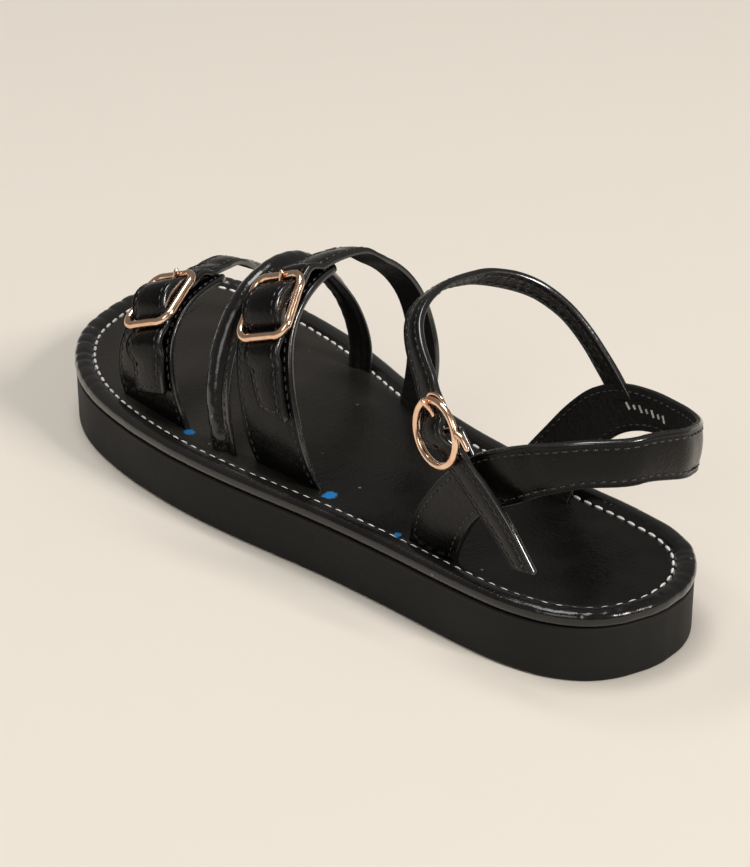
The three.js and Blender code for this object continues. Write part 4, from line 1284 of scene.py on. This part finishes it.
# ------------------------------------------------------------------ the sandal's parts
@dataclass
class Part:
    """A sub-assembly: it builds pieces, dresses them and places them on the frame."""

    finishes: Finishes

    def dress(self, piece: bpy.types.Object, slot: str, nodes: Sequence[str],
              *materials: bpy.types.Material) -> None:
        """Gives a piece its finish and lets it ride.

        Args:
            piece: the finished mesh.
            slot: not used.
            nodes: the CAD nodes that it stands for.
            materials: in the order of the piece's material places.
        """
        places = [face.material_index for face in piece.data.polygons]
        piece.data.materials.clear()
        for material in materials:
            piece.data.materials.append(material)
        if len(materials) > 1:
            piece.data.polygons.foreach_set("material_index", places)
        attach(piece, "root")
        if nodes:
            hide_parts(*nodes)
        LOG.info("%s: %d faces", piece.name, len(piece.data.polygons))

    def dress_strap(self, piece: bpy.types.Object, node: str) -> None:
        """Dresses a lined strap that stands for a CAD node."""
        self.dress(piece, "strap_leather", [node], self.finishes.strap, self.finishes.edge,
                   self.finishes.lining)

    def stitch(self, name: str, seams: Sequence[Sequence[tuple[Array, Array]]],
               seed: int) -> None:
        """Sews seams on the straps with black thread."""
        self.dress(STRAP_THREAD.sew(name, seams, seed), "strap_leather", [],
                   self.finishes.black)


class SoleLine:
    """The outline of the sole, and the height of the footbed over it."""

    def __init__(self) -> None:
        """Draws the closed outline once."""
        table = SmoothTable(SOLE_OUTLINE)
        at = [-126 * math.cos(math.pi * i / 60) for i in range(61)]
        inner = [(x, table.at(x)[1], 0.0) for x in at]
        outer = [(x, table.at(x)[0], 0.0) for x in at[::-1]]
        self.line = curve_through(np.array(inner + outer), closed=True)

    def loop(self, count: int) -> tuple[Array, Array]:
        """Even points of the outline and the inward direction at each."""
        p = even_steps(self.line, count, closed=True)
        along = unit(np.roll(p, -1, axis=0) - np.roll(p, 1, axis=0))
        return p, np.column_stack([-along[:, 1], along[:, 0], along[:, 2]])

    @staticmethod
    def bed(x: Array, y: Array) -> Array:
        """Height of the footbed: a shallow hollow at the heel, a lift at the toe."""
        dish = HEEL_DISH * np.exp(-(((x + 84) / 30) ** 2) - ((y / 19) ** 2))
        t = np.clip((x - 60) / 66, 0, 1)
        return FOOTBED_TOP + TOE_RISE * t * t * (3 - 2 * t) - dish


def ring_at(line: Array, inward: Array, inset: Array | float, z: Array | float) -> Array:
    """One loop of the sole's outline, moved in and set to a height."""
    ring = line + inward * np.reshape(inset, (-1, 1))
    ring[:, 2] = z
    return ring


@dataclass
class Outsole(Part):
    """Straight-walled platform with softened edges and a parting line."""

    around: int = 420

    def build(self) -> None:
        """Makes the platform."""
        line, inward = SoleLine().loop(self.around)
        profile = [(3.2, 0.0), (1.4, 0.0), (0.8, 0.08), (0.35, 0.3), (0.08, 0.7), (0, 1.3)]
        profile += [(0.0, z) for z in np.linspace(2.2, 14.6, 8)]
        profile += [(0.0, 15.3), (-0.04, 15.8), (-0.1, 16.2), (-0.08, 16.5), (0.06, 16.75),
                    (0.35, SOLE_HEIGHT + 0.1), (3.0, SOLE_HEIGHT + 0.1)]
        rings = np.array([ring_at(line, inward, inset, z) for inset, z in profile])
        piece = sheet_of("outsole_platform", rings, wrap=True, cap=True)
        smooth_faces(piece, 50)
        self.dress(piece, "outsole", ["outsole"], self.finishes.rubber)


@dataclass
class Footbed(Part):
    """Leather-covered footbed with a rolled rim, gathers at the toe and white stitching."""

    around: int = 720
    rim_rings: int = 29               # rings that make up the rolled rim
    gather_from: float = 66.0         # gathers lie on the rim in front of this x
    gather_pitch: float = 5.2
    gather_depth: float = 0.5
    seed: int = 11

    def _gathers(self, line: Array) -> Array:
        """Depth of the gathers round the outline."""
        rng = random.Random(self.seed)
        run = run_of(line)
        depth = np.zeros(len(line))
        at = 0.0
        while at < run[-1]:
            at += self.gather_pitch * rng.uniform(0.6, 1.5)
            x = float(np.interp(at, run, line[:, 0]))
            share = smooth((x - self.gather_from) / 30)
            share = max(share, 0.5 * smooth((-x - 96) / 20))
            wide = rng.uniform(0.7, 1.5)
            deep = self.gather_depth * rng.uniform(0.5, 1.2) * share
            depth += deep * np.exp(-(((run - at) / wide) ** 2))
        return depth

    def build(self) -> None:
        """Makes the cover and its stitching."""
        line, inward = SoleLine().loop(self.around)
        gathers = self._gathers(line)
        under = SOLE_HEIGHT + JOINT_GAP
        bed = SoleLine.bed(line[:, 0], line[:, 1])
        top = bed + RIM_RISE
        middle, half = (top + under) / 2, (top - under) / 2
        rings = [ring_at(line, inward, 4.0, under)]
        reach = RIM_CREST + RIM_PROUD
        for a in np.linspace(-88, 90, 19):
            c, s = math.cos(math.radians(a)), math.sin(math.radians(a))
            bulge = np.sign(c) * abs(c) ** (0.8 if s > 0 else 0.42)
            inset = RIM_CREST - reach * bulge + gathers * max(c, 0) * 0.3
            z = middle + half * np.sign(s) * abs(s) ** 0.85 - gathers * max(s, 0) * 0.7
            rings.append(ring_at(line, inward, inset, z))
        for t in np.linspace(0.12, 1, 9):
            inset = RIM_CREST + (RIM_WIDTH - RIM_CREST) * t
            drop = (1 - math.sqrt(max(1 - t * t, 0))) * 0.55 + 0.45 * t * t
            z = top - (RIM_RISE + 0.35) * drop - gathers * 0.75 * (1 - 0.4 * t)
            rings.append(ring_at(line, inward, inset, z))
        for inset, rise in ((BED_STITCH_INSET, -0.5), (6.3, -0.42), (6.7, -0.2), (7.2, -0.05),
                            (8.0, 0.0), (9.5, 0.0), (11.5, 0.0), (14, 0.0), (17, 0.0)):
            ring = line + inward * inset
            pucker = 0.35 * gathers * math.exp(-(inset - 6) / 3)
            ring[:, 2] = SoleLine.bed(ring[:, 0], ring[:, 1]) + rise - pucker
            rings.append(ring)
        last = rings[-1]
        middle_x = np.clip(np.rint(last[:, 0] / 2.0) * 2.0, -104, 100)
        spine = np.column_stack([middle_x, self._spine(middle_x), last[:, 2]])
        for t in (0.25, 0.5, 0.75, 1.0):
            ring = last + (spine - last) * t
            ring[:, 2] = SoleLine.bed(ring[:, 0], ring[:, 1])
            rings.append(ring)
        piece = sheet_of("footbed_cover", np.array(rings), wrap=True, cap=True)
        share = (self.rim_rings - 1) / (len(rings) - 1)
        for face, v in zip(piece.data.polygons, face_places(piece, 1)):
            face.material_index = 1 if v < share else 0
        smooth_faces(piece, 60)
        self.dress(piece, "footbed", ["footbed"], self.finishes.bed, self.finishes.rim)
        self._stitches(line, inward)

    @staticmethod
    def _spine(x: Array) -> Array:
        """Middle of the footbed at x."""
        table = SmoothTable(SOLE_OUTLINE)
        return np.array([float(np.mean(table.at(v))) for v in x])

    def _stitches(self, line: Array, inward: Array) -> None:
        """White stitching in the groove at the foot of the rim."""
        path = line + inward * BED_STITCH_INSET
        path[:, 2] = SoleLine.bed(path[:, 0], path[:, 1]) - 0.28
        up = np.tile((0.0, 0.0, 1.0), (len(path), 1)) - inward * -0.3
        seam = list(zip(np.vstack([path, path[:1]]), np.vstack([up, up[:1]])))
        thread = BED_THREAD.sew("footbed_stitching", [seam], seed=4)
        self.dress(thread, "footbed", [], self.finishes.white)


@dataclass
class FrontStraps(Part):
    """Toe and instep straps on their anchor pieces, with their stitching."""

    form: FootForm = field(default_factory=FootForm)

    def build(self) -> None:
        """Makes the four pieces and their stitching."""
        self.seats, seams = [], []
        for name, table, place, tab_end, lap, creases in (
                ("toe_strap", TOE_STRAP, TOE_BUCKLE, TOE_TAB_END, 0.61,
                 ((58.0, 0.3, 2.4), (64.0, 0.2, 1.6))),
                ("instep_strap", INSTEP_STRAP, INSTEP_BUCKLE, INSTEP_TAB_END, 0.62,
                 ((64.0, 0.25, 2.2), (71.0, 0.2, 1.6)))):
            seat = seat_on(self.form, table, place)
            band = on_form(self.form, table, 1.0, tab_end,
                           lambda u, i=lap: (STACK + 0.1) * smooth((i - u) / LAP_FADE),
                           LEATHER)
            strap = Strap(name + "_leather", threaded(band, seat, LEATHER),
                          StrapCut(end_corner=1.0, creases=creases))
            piece = strap.build()
            punch(piece, seat.origin + seat.along * (seat.reach * HOLE_REACH), seat.normal,
                  HOLE_RADIUS)
            self.dress_strap(piece, name)
            self.seats.append(seat)
            seams.append(strap.seam(SEAM_START, -STITCH_INSET))
        for name, table in (("toe_anchor", TOE_ANCHOR), ("instep_anchor", INSTEP_ANCHOR)):
            band = on_form(self.form, table, 0.0, ANCHOR_END, lambda u: 0.0, ANCHOR_LEATHER)
            strap = Strap(name + "_leather", band, StrapCut(end_corner=5.0, crown=0.1))
            self.dress_strap(strap.build(), name)
            seams.append(strap.seam(SEAM_START, -4.0, close_end=False))
        self.stitch("front_strap_stitching", seams, seed=7)


@dataclass
class RolledStrap(Part):
    """Leather rolled round a cord, its stitched flange along the rear side."""

    steps: int = 200
    roll: tuple[float, float] = (3.1, 2.5)      # half-width and half-thickness
    roll_at: float = 0.9                        # middle of the roll, towards the front
    stitch_at: float = -3.9
    # flange: distance to the rear, height over the middle
    flange: tuple[tuple[float, float], ...] = (
        (-2.5, 0.28), (-2.9, 0.4), (-3.4, 0.36), (-3.9, 0.26), (-4.4, 0.36), (-5.6, 0.42),
        (-6.0, 0.34), (-6.2, 0.1), (-6.25, -0.25), (-6.15, -0.6), (-5.7, -0.85),
        (-4.0, -0.9), (-3.0, -0.88), (-2.5, -0.82),
    )

    def _section(self) -> list[tuple[float, float]]:
        """Closed outline: round the roll, then out along the flange and back under it."""
        half, thick = self.roll
        round_roll = [(self.roll_at + half * math.cos(a), thick * math.sin(a))
                      for a in np.radians(np.linspace(-158, 158, 29))]
        return round_roll + list(self.flange)

    def build(self) -> None:
        """Makes the leather and its stitching."""
        line = even_steps(curve_through(np.array(TUBE_PATH, float), closed=False),
                          self.steps, closed=False)
        along = unit(np.gradient(line, axis=0))
        out = line - np.array((0, 4, 30))
        out[:, 0] = 0
        out = unit(out - along * np.sum(out * along, axis=1)[:, None])
        side = unit(np.cross(along, out))
        section = np.array(self._section())
        rings, seam = [], []
        for i, p in enumerate(line):
            ripple = 1 + 0.02 * math.sin(i * 0.9) + 0.012 * math.sin(i * 0.37 + 1)
            rings.append(p + side[i] * section[:, :1] + out[i] * section[:, 1:] * ripple)
            seam.append((p + side[i] * self.stitch_at + out[i] * 0.26, out[i]))
        piece = sheet_of("rolled_strap_leather", np.array(rings), wrap=True, cap=True)
        smooth_faces(piece, 60)
        self.dress(piece, "strap_leather", ["rolled_strap"], self.finishes.rolled)
        self.stitch("rolled_strap_stitching", [seam[6:-6]], seed=9)


@dataclass
class HeelPiece(Part):
    """Heel sling with its two legs, the ankle strap and the loop under its buckle."""

    holes: tuple[tuple[float, float], ...] = ((-3.4, 0.2), (6.2, 0.2))   # along, across
    ticks: tuple[float, ...] = (2.3, 1.4, 2.3, 1.4, 2.3, 1.4, 2.3)
    ticks_from: float = 47.0
    tick_pitch: float = 2.5

    def build(self) -> None:
        """Makes the leather pieces, their stitching and the marks on the lining."""
        self.seat = seat = ring_seat()
        node = "heel_and_ankle_strap"
        heel = Strap("heel_sling_leather", between(HEEL_TOP_EDGE, HEEL_LOW_EDGE, LEATHER),
                     StrapCut(crown=0.5, creases=((96.0, 0.25, 4.0), (150.0, 0.3, 3.0))))
        self.dress_strap(heel.build(), node)
        band = threaded(between(ANKLE_FRONT_EDGE, ANKLE_REAR_EDGE, ANKLE_LEATHER), seat,
                        ANKLE_LEATHER)
        ankle = Strap("ankle_strap_leather", band,
                      StrapCut(crown=0.2, end_corner=0.8, start_corner=2.0))
        piece = ankle.build()
        for along, across in self.holes:
            at = seat.origin + seat.along * along + seat.width * across
            punch(piece, at, seat.normal, ANKLE_HOLE_RADIUS)
        self.dress_strap(piece, node)
        loop = Strap("buckle_loop_leather", self._loop(), StrapCut(crown=0.1))
        self.dress_strap(loop.build(), node)
        seams = [heel.seam(SEAM_START, -SEAM_START, close_end=False),
                 ankle.seam(2.0, -STITCH_INSET),
                 heel.seam(9.0, -9.0, close_end=False, lining=True),
                 ankle.seam(10.0, -60.0, close_end=False, lining=True)]
        self.stitch("heel_and_ankle_stitching", seams, seed=13)
        self._size_ticks(heel)

    def _size_ticks(self, heel: Strap) -> None:
        """A row of plain foil ticks on the lining, where a size is usually stamped."""
        deselect()
        ticks = []
        for k, length in enumerate(self.ticks):
            row = heel.row_at(self.ticks_from + self.tick_pitch * k)
            at, out = heel.surface(row, 7.0, lining=True)
            up = unit(at - heel.surface(row, 8.0, lining=True)[0])
            bpy.ops.mesh.primitive_cube_add(size=MM)
            tick = bpy.context.object
            side = unit(np.cross(up, out))
            tick.matrix_world = pose(side * 0.8, up * length, out * 0.12, at + out * 0.02)
            ticks.append(tick)
        self.dress(joined("lining_foil_ticks", ticks), "strap_leather", [],
                   self.finishes.foil)

    def _loop(self) -> Band:
        """Short band from the heel piece up to the ring's bar."""
        top = self.seat.origin + self.seat.normal * -5.0
        foot = np.array(CHAPE_FOOT)
        along = top - foot
        across = self.seat.width - along * float(self.seat.width @ along) / float(along @ along)
        across = unit(across)
        normal = unit(np.cross(across, along))
        if normal[1] < 0:
            normal = -normal
        at = np.linspace(0, 1, 60)
        line = foot + along * at[:, None]
        half = np.array([ANKLE_WIDTH / 2 - 0.6 * smooth(t) for t in at])[:, None]
        zero = np.zeros(60)
        return Band(line + across * half, line - across * half, np.tile(normal, (60, 1)),
                    zero - 1.4, zero)


@dataclass
class Buckle(Part):
    """A buckle on its seat: frame, centre bar and prong."""

    name: str = "toe"
    seat: Seat | None = None
    round_ring: bool = False

    def _wire(self, name: str, points: Sequence[tuple[float, float, float]], radius: float,
              closed: bool) -> bpy.types.Object:
        """A round bar along points in the buckle's own plane.

        Args:
            name: of the piece.
            points: across the strap, along it and above the frame's plane.
            radius: of the bar.
            closed: whether it is a ring.

        Returns:
            The bar.
        """
        seat = self.seat
        line = curve_through(np.array(points, float), closed, per_span=10)
        count = max(24, int(len(line) * 0.8))
        line = even_steps(line, count, closed)
        if closed:
            along = unit(np.roll(line, -1, axis=0) - np.roll(line, 1, axis=0))
        else:
            along = unit(np.gradient(line, axis=0))
        side = unit(np.cross(along, np.array((0, 0, 1.0))))
        up = np.cross(side, along)
        a = 2 * math.pi * np.arange(WIRE_SIDES) / WIRE_SIDES
        rings = []
        for i in range(count):
            k = 1.0 if closed else WIRE_TIP[min(i, count - 1 - i, len(WIRE_TIP) - 1)]
            rings.append(line[i] + side[i] * (radius * k * np.cos(a))[:, None]
                         + up[i] * (radius * k * np.sin(a))[:, None])
        local = np.array(rings)
        world = (seat.origin + local[..., :1] * seat.width + local[..., 1:2] * seat.along
                 + local[..., 2:] * seat.normal)
        piece = sheet_of(name, world, wrap=True, cap=not closed, ring=closed)
        smooth_faces(piece, 60)
        return piece

    def build(self) -> None:
        """Makes the buckle's pieces."""
        r = self.seat.radius
        if self.round_ring:
            half = RING_DIAMETER / 2 - r
            outline = [(half * math.cos(a), half * math.sin(a), 0)
                       for a in np.linspace(0, 2 * math.pi, 25)[:-1]]
        else:
            w, l, c = BUCKLE_WIDTH / 2 - r, BUCKLE_LENGTH / 2 - r, BUCKLE_CORNER * 0.62
            quarter = [(w, 0), (w, l * 0.4), (w, l - c), (w - c * 0.35, l - c * 0.35),
                       (w - c, l), (w * 0.4, l)]
            half_turn = quarter + [(0, l)] + [(-x, y) for x, y in quarter[::-1]]
            outline = [(x, y, 0) for x, y in half_turn]
            outline += [(-x, -y, 0) for x, y in half_turn[1:-1]]
            half = w
        frame = self._wire(self.name + "_buckle_frame", outline, r, True)
        bar = self._wire(self.name + "_buckle_bar",
                         [(-half, 0, 0), (-half * 0.86, 0, -BAR_DROP), (0, 0, -BAR_DROP),
                          (half * 0.86, 0, -BAR_DROP), (half, 0, 0)], BAR_RADIUS, False)
        q = PRONG_WIRE / 2
        rest, reach = r + q + 0.2, self.seat.reach
        lean = 0.3 if self.round_ring else 1.0
        prong = self._wire(self.name + "_buckle_prong", [
            (0, BAR_RADIUS + q + 0.2, -BAR_DROP), (-0.4 * lean, reach * 0.55, -0.8),
            (-1.5 * lean, reach * 0.8, 0.5), (-2.7 * lean, reach, rest),
            (-2.9 * lean, reach + 0.5, rest - 0.1)], q, False)
        for piece, node in ((frame, "_buckle"), (bar, "_buckle"), (prong, "_prong")):
            self.dress(piece, "buckle_metal", [self.name + node], self.finishes.gold)
        if self.round_ring:
            self._hook()

    def _hook(self) -> None:
        """Small hook beside the ring."""
        hook = self._wire("ankle_buckle_hook", [
            (-9.2, -0.8, 0), (-11.2, -2.6, -0.4), (-12.8, -6.4, -0.6)], 0.9, False)
        arc = zip(np.radians((84, 98, 112, 126, 140)), (-0.6, 0.6, 0.8, 0.6, -0.6))
        reach = RING_DIAMETER / 2
        keeper = self._wire("ankle_buckle_keeper", [
            ((reach + out) * math.cos(a), (reach + out) * math.sin(a), -0.4)
            for a, out in arc], 0.5, False)
        for piece in (hook, keeper):
            self.dress(piece, "buckle_metal", ["ankle_buckle"], self.finishes.gold)


# ------------------------------------------------------------------ the studio
@dataclass
class Studio:
    """Plain pale floor, soft lights and the camera."""

    camera_at: tuple[float, float, float] = (-560.3, 456.2, 396.9)
    aim: tuple[float, float, float] = (-6.0, 2.0, 24.0)
    lens: float = 112.0
    floor_color: Color = (0.755, 0.7, 0.622)
    # name, place, size, power, color
    lamps: tuple[tuple, ...] = (
        ("key", (-2.2, -0.5, 1.65), 0.6, 50.0, (1.0, 0.97, 0.93)),
        ("fill", (-0.9, 1.8, 1.5), 1.2, 10.0, (1.0, 0.98, 0.96)),
        ("top", (0.4, 0.1, 2.4), 1.1, 31.0, (1.0, 0.99, 0.98)),
    )

    def build(self) -> None:
        """Sets up the floor, the lights, the world and the camera."""
        self._floor()
        for lamp in self.lamps:
            self._lamp(*lamp)
        bpy.context.scene.view_settings.view_transform = "Standard"
        world = bpy.data.worlds.new("studio")
        world.use_nodes = True
        shade = world.node_tree.nodes["Background"]
        shade.inputs["Color"].default_value = (0.9, 0.87, 0.83, 1)
        shade.inputs["Strength"].default_value = 0.2
        bpy.context.scene.world = world
        self._camera()

    def _floor(self) -> None:
        """A wide floor with a very fine, even texture."""
        deselect()
        bpy.ops.mesh.primitive_plane_add(size=8, location=(0, 0, 0))
        floor = bpy.context.object
        floor.name = "studio_floor"
        material = bpy.data.materials.new("studio_paper")
        material.use_nodes = True
        bench = Bench(material.node_tree)
        shader = material.node_tree.nodes["Principled BSDF"]
        fibre = bench.add("TexNoise", {"Vector": bench.add("TexCoord").outputs["Object"],
                                       "Scale": 60.0, "Detail": 4.0})
        color = bench.blend(fibre.outputs["Fac"], self.floor_color,
                            tuple(c * 0.985 for c in self.floor_color))
        bench.feed(shader, {"Base Color": color, "Roughness": 0.9})
        floor.data.materials.append(material)

    @staticmethod
    def _lamp(name: str, place: tuple[float, float, float], size: float, power: float,
              color: Color) -> None:
        """A square soft lamp that points at the sandal."""
        deselect()
        bpy.ops.object.light_add(type="AREA", location=place)
        lamp = bpy.context.object
        lamp.name = "lamp_" + name
        lamp.data.size, lamp.data.energy, lamp.data.color = size, power, color
        lamp.rotation_euler = (-Vector(place)).to_track_quat("-Z", "Y").to_euler()

    def _camera(self) -> None:
        """The camera, on the left behind the heel."""
        deselect()
        bpy.ops.object.camera_add()
        camera = bpy.context.object
        camera.name = "studio_camera"
        place, aim = (Vector(v + SHIFT) * MM for v in (self.camera_at, self.aim))
        camera.location = place
        camera.rotation_euler = (aim - place).to_track_quat("-Z", "Y").to_euler()
        camera.data.lens = self.lens
        camera.data.sensor_width = 36
        camera.data.clip_start, camera.data.clip_end = 0.01, 20
        bpy.context.scene.camera = camera


def main() -> None:
    """Loads the frame, builds the sandal on it and sets up the studio."""
    logging.basicConfig(level=logging.INFO, format="%(name)s %(message)s")
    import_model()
    finishes = Finishes()
    Studio().build()
    front, heel = FrontStraps(finishes), HeelPiece(finishes)
    for part in (Outsole(finishes), Footbed(finishes), front, RolledStrap(finishes), heel):
        part.build()
    for name, seat in zip(("toe", "instep", "ankle"), (*front.seats, heel.seat)):
        Buckle(finishes, name=name, seat=seat, round_ring=name == "ankle").build()
    deselect()


if __name__ == "__main__":
    main()
